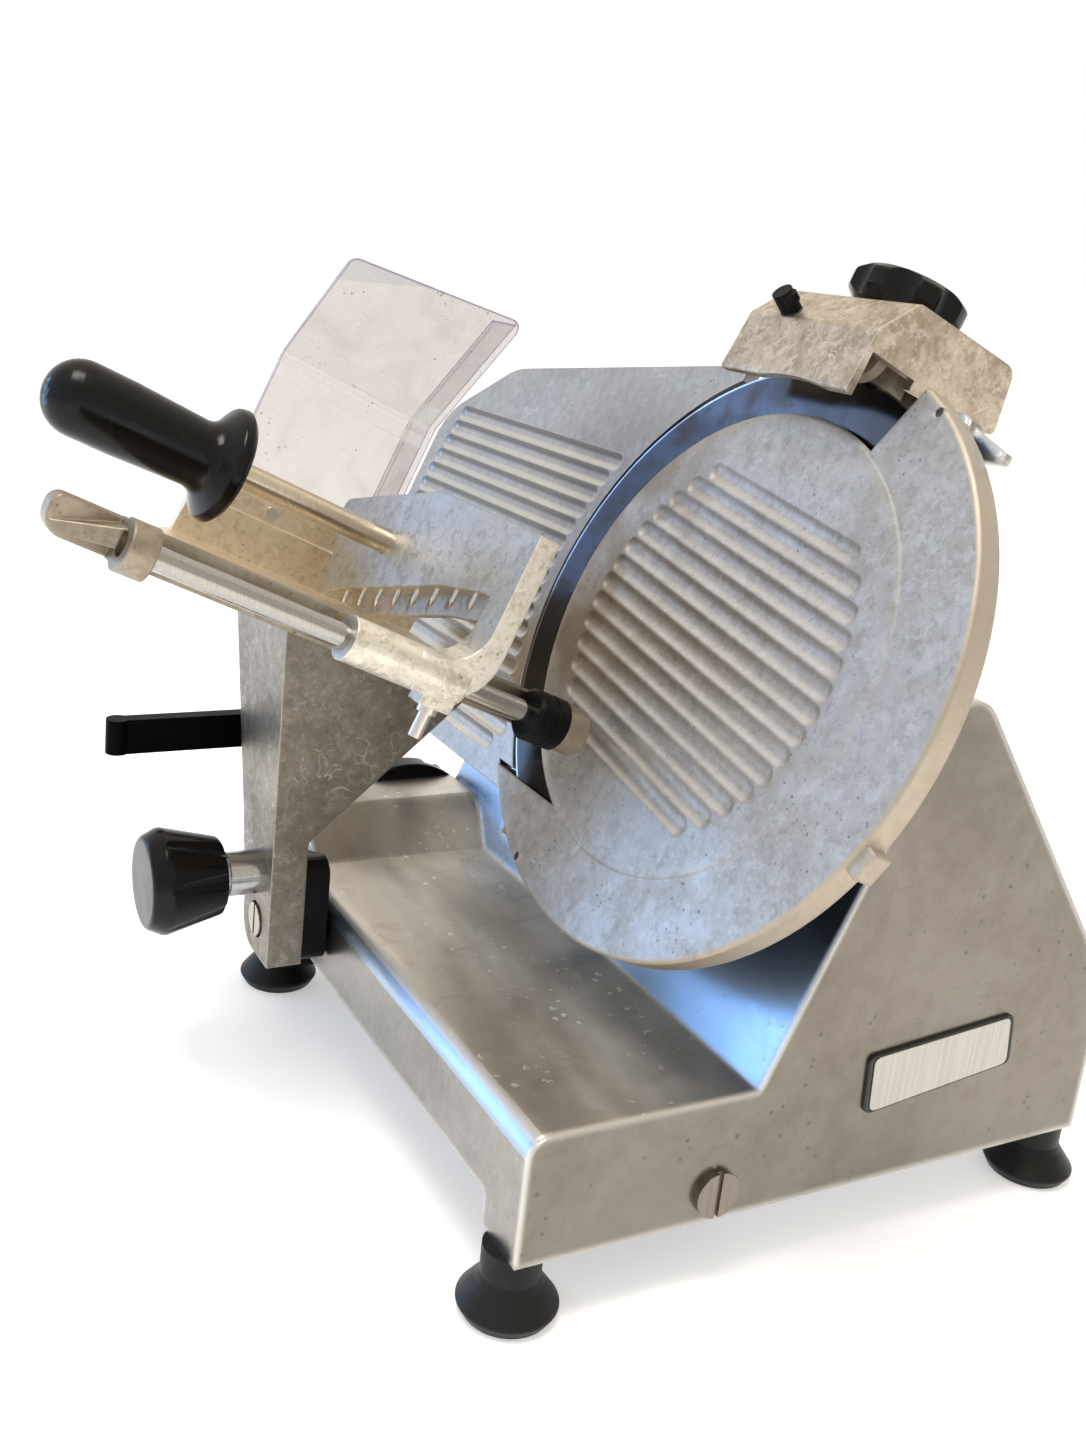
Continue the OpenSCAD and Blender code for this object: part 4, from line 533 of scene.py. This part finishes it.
badge_field = bright_steel("badge_field", (0.50, 0.48, 0.44, 1), 0.26, TURN_X, 1300)

# Moulded and painted pieces: tone, roughness, scale of the grain and paleness of the dust
phenolic = moulded("phenolic", (0.005, 0.005, 0.0052, 1), 0.17, 500, 0.012, specular=0.22)
lever_black = moulded("lever_black", (0.002, 0.002, 0.0022, 1), 0.3, 900, 0.004, specular=0.03)
plastic = moulded("plastic", (0.006, 0.006, 0.0065, 1), 0.38, 900, 0.012, specular=0.1)
rubber = moulded("rubber", grey(0.008), 0.44, 800, 0.03, specular=0.28)
dark_rubber = moulded("dark_rubber", grey(0.004), 0.4, 800, 0.012, specular=0.1)
motor_paint = moulded("motor_paint", (0.045, 0.048, 0.052, 1), 0.5, 600, 0.05)
green = moulded("green", (0.02, 0.17, 0.05, 1), 0.36, 900, 0.05)
red = moulded("red", (0.36, 0.02, 0.018, 1), 0.36, 900, 0.05)
badge_rim = moulded("badge_rim", grey(0.03), 0.3, 900, 0.05)

FINISHES = (
    (body_finish(), ["body"]),
    (cover_finish(), ["blade_cover"]),
    (gauge_finish(), ["gauge_plate"]),
    (tray_cast, ["tray"]),
    (arm_cast, ["carriage_arm"]),
    (sharp_cast, ["sharpener_cover"]),
    (pusher_cast, ["pusher", "gripper_strip"]),
    (blade_finish(), ["blade"]),
    (rod_n, ["pusher_rod", "gauge_rods", "motor_shaft", "blade_hub", "sharpener_post",
             "shaft_bearings"]),
    (rod_y, ["guide_rod", "dial_shaft"]),
    (turned, ["lock_collar"]),
    (champagne, ["handle_rod"]),
    (rivet_metal, ["guard_rivets", "gripper_pins", "pusher_stop"]),
    (screw_metal, ["cover_plate_screws", "foot_studs", "arm_screw", "tray_screws", "hub_screws",
                   "stone_pins"]),
    (plug_metal, ["guide_plug"]),
    (dark_screw, ["cover_screws"]),
    (sheet_metal, ["bottom_cover", "motor_mount", "slice_deflector", "blade_pulley",
                   "motor_pulley", "gauge_carrier"]),
    (bronze, ["slide_bushes"]),
    (motor_paint, ["motor"]),
    (phenolic, ["lock_knob", "handle_grip", "thickness_dial", "star_knob"]),
    (lever_black, ["push_lever"]),
    (plastic, ["slide_block", "switch_plate", "cable_gland", "sharpener_button"]),
    (green, ["start_button"]),
    (red, ["stop_button"]),
    (rubber, ["foot_1", "foot_2", "foot_3", "foot_4"]),
    (dark_rubber, ["rod_bumper", "drive_belt"]),
    (clear_sheet(), ["hand_guard"]),
    (stone_finish(), ["grinding_stone", "honing_stone"]),
)
for finish, names in FINISHES:
    for node_name in names:
        mesh = NODES[node_name].data
        mesh.materials.clear()
        mesh.materials.append(finish)


# Pieces that the frame doesn't hold

def add_object(name, data):
    made = bpy.data.objects.new(name, data)
    SCENE.collection.objects.link(made)
    return made


def add_mesh(name, verts, faces, material):
    mesh = bpy.data.meshes.new(name)
    mesh.from_pydata(verts, [], faces)
    mesh.update()
    mesh.materials.append(material)
    return add_object(name, mesh)


def row(x, y, z):
    """Point in the row frame, from millimetres off the base's rear food-side corner."""
    return SHIFT + Vector((x, y, z)) * MM


def drawn_in(corners, distance):
    """Corners moved towards their middle by a distance."""
    middle = sum(corners, Vector()) / len(corners)
    return [c + (middle - c).normalized() * distance for c in corners]


def rounded_loop(corners, radius, steps=5):
    """Points of a flat outline whose corners are rounded."""
    points = []
    for i, corner in enumerate(corners):
        following = corners[(i + 1) % len(corners)]
        start = corner + (corners[i - 1] - corner).normalized() * radius
        end = corner + (following - corner).normalized() * radius
        for k in range(steps + 1):
            f = k / steps
            points.append((1 - f) ** 2 * start + 2 * f * (1 - f) * corner + f * f * end)
    return points


def plate(name, corners, normal, layers, material, body, radius):
    """Raised plate built from inset loops: (inset, height) pairs from its foot to its face."""
    least_radius = 0.0004
    verts, faces, loops = [], [], []
    for inset, height in layers:
        outline = rounded_loop(drawn_in(corners, inset), max(radius - inset * 0.5, least_radius))
        loops.append(range(len(verts), len(verts) + len(outline)))
        verts.extend(p + normal * height for p in outline)
    for low, high in zip(loops, loops[1:]):
        count = len(low)
        for i in range(count):
            j = (i + 1) % count
            faces.append((low[i], low[j], high[j], high[i]))
    faces.append(tuple(loops[-1]))
    faces.append(tuple(reversed(loops[0])))
    piece = add_mesh(name, verts, faces, material)
    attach(piece, body)


# Bare plate on the rear face: a dark rim round a bright field
# Its corners are x and z in millimetres, and its layers are insets and heights in metres
BADGE_CORNERS = ((-158, 63), (-238, 73), (-235, 97), (-156, 90))
BADGE_RIM_LAYERS = ((0, 0), (0, 0.0012), (0.0006, 0.0018), (0.0018, 0.0018), (0.0022, 0.0013))
BADGE_FIELD_LAYERS = ((0, 0.0013), (0, 0.0019), (0.0005, 0.0021))
BADGE_FIELD_INSET = 0.0026
badge = [row(x, 0, z) for x, z in BADGE_CORNERS]
plate("badge_plate", badge, ALONG, BADGE_RIM_LAYERS,
      badge_rim, "base", 0.004)
plate("badge_face", drawn_in(badge, BADGE_FIELD_INSET), ALONG, BADGE_FIELD_LAYERS,
      badge_field, "base", 0.0035)


# Camera, floor and light

IMAGE_WIDTH, IMAGE_HEIGHT = 1086, 1448
FOCAL_PIXELS = 1464.482
MIDDLE_PIXELS = (500.671, 670.758)
CAMERA_AT = row(243.641, 390.02, 388.512)
CAMERA_TURN = Vector((0.444, 2.214, -1.627))
SENSOR = 36
FLOOR_HALF = 12
FLOOR_GLOW = 0.42

# Name, place, aim, width and height, power and colour
LAMPS = (
    ("key", (0.5, 0.3, 2.2), (0, 0, 0.2), (0.8, 0.8), 26, (1.0, 0.95, 0.87)),
    ("window", (0.98, -0.84, 0.30), (0.0, 0.1, 0.12), (0.45, 0.5), 2.6, (0.22, 0.52, 1.0)),
    ("pane", (0.86, -1.0, 0.70), (-0.05, -0.02, 0.29), (0.22, 0.16), 0.7, (0.20, 0.45, 1.0)),
)


def camera():
    """Camera at the photograph's viewing angle, from its fitted place and turn."""
    data = bpy.data.cameras.new("camera")
    data.sensor_fit = "VERTICAL"
    data.sensor_height = SENSOR
    data.sensor_width = SENSOR
    data.lens = SENSOR * FOCAL_PIXELS / IMAGE_HEIGHT
    data.shift_x = (IMAGE_WIDTH / 2 - MIDDLE_PIXELS[0]) / IMAGE_HEIGHT
    data.shift_y = (MIDDLE_PIXELS[1] - IMAGE_HEIGHT / 2) / IMAGE_HEIGHT
    data.clip_start = 0.01
    data.clip_end = 50
    right, down, ahead = Matrix.Rotation(CAMERA_TURN.length, 3, CAMERA_TURN.normalized())
    made = add_object("camera", data)
    made.matrix_world = Matrix((
        (right[0], -down[0], -ahead[0], CAMERA_AT[0]),
        (right[1], -down[1], -ahead[1], CAMERA_AT[1]),
        (right[2], -down[2], -ahead[2], CAMERA_AT[2]),
        (0, 0, 0, 1)))
    SCENE.camera = made


def floor():
    """Pale floor that shows the object's shadow, and looks white beyond it."""
    s = Shader("floor")
    s.finish(s.mix(s.noise(3, 2, 0.4), grey(0.88), grey(0.91)), 0.7, 0.0, 0.2)
    path = s.node("ShaderNodeLightPath").outputs
    seen = s.most(path["Is Camera Ray"], path["Is Glossy Ray"])
    seen = s.most(seen, path["Is Transmission Ray"])
    s.bsdf.inputs["Emission Color"].default_value = WHITE
    s.put(s.bsdf.inputs["Emission Strength"], s.times(seen, FLOOR_GLOW))
    corners = [(x * FLOOR_HALF, y * FLOOR_HALF, 0) for x, y in ((-1, -1), (1, -1), (1, 1), (-1, 1))]
    made = add_mesh("floor", corners, [(0, 1, 2, 3)], s.mat)


def lamp(name, place, aim, size, power, colour):
    """Soft rectangular lamp that points at its aim."""
    data = bpy.data.lights.new(name, "AREA")
    data.shape = "RECTANGLE"
    data.size, data.size_y = size
    data.energy = power
    data.color = colour
    made = add_object(name, data)
    made.location = place
    made.rotation_euler = (Vector(aim) - Vector(place)).to_track_quat("-Z", "Y").to_euler()


class Sky(Shader):
    """The same helpers on the world's nodes."""

    def __init__(self):
        SCENE.world = bpy.data.worlds.new("world")
        SCENE.world.use_nodes = True
        self.tree = SCENE.world.node_tree
        self.coords = self.node("ShaderNodeTexCoord").outputs["Generated"]

    def towards(self, direction, low, high):
        """Smooth rise from 0 to 1 towards a direction of the sky."""
        return self.step(self.dot(self.coords, direction), low, high)


def world():
    """White surround, warm overhead and to the rear, and cool on the food side."""
    s = Sky()
    colour = s.mix(s.towards(UPRIGHT, 0.2, 0.6), WHITE, (0.95, 0.88, 0.77, 1))
    colour = s.paint(colour, s.towards(ALONG, 0.05, 0.6), (0.64, 0.56, 0.45, 1), 0.7)
    colour = s.paint(colour, s.towards(ACROSS, 0.3, 0.8), (0.62, 0.74, 0.95, 1), 0.6)
    seen = s.node("ShaderNodeLightPath").outputs["Is Camera Ray"]
    s.put(s.tree.nodes["Background"].inputs["Color"], s.mix(seen, colour, WHITE))


camera()
floor()
world()
for values in LAMPS:
    lamp(*values)
SCENE.view_settings.view_transform = "Standard"
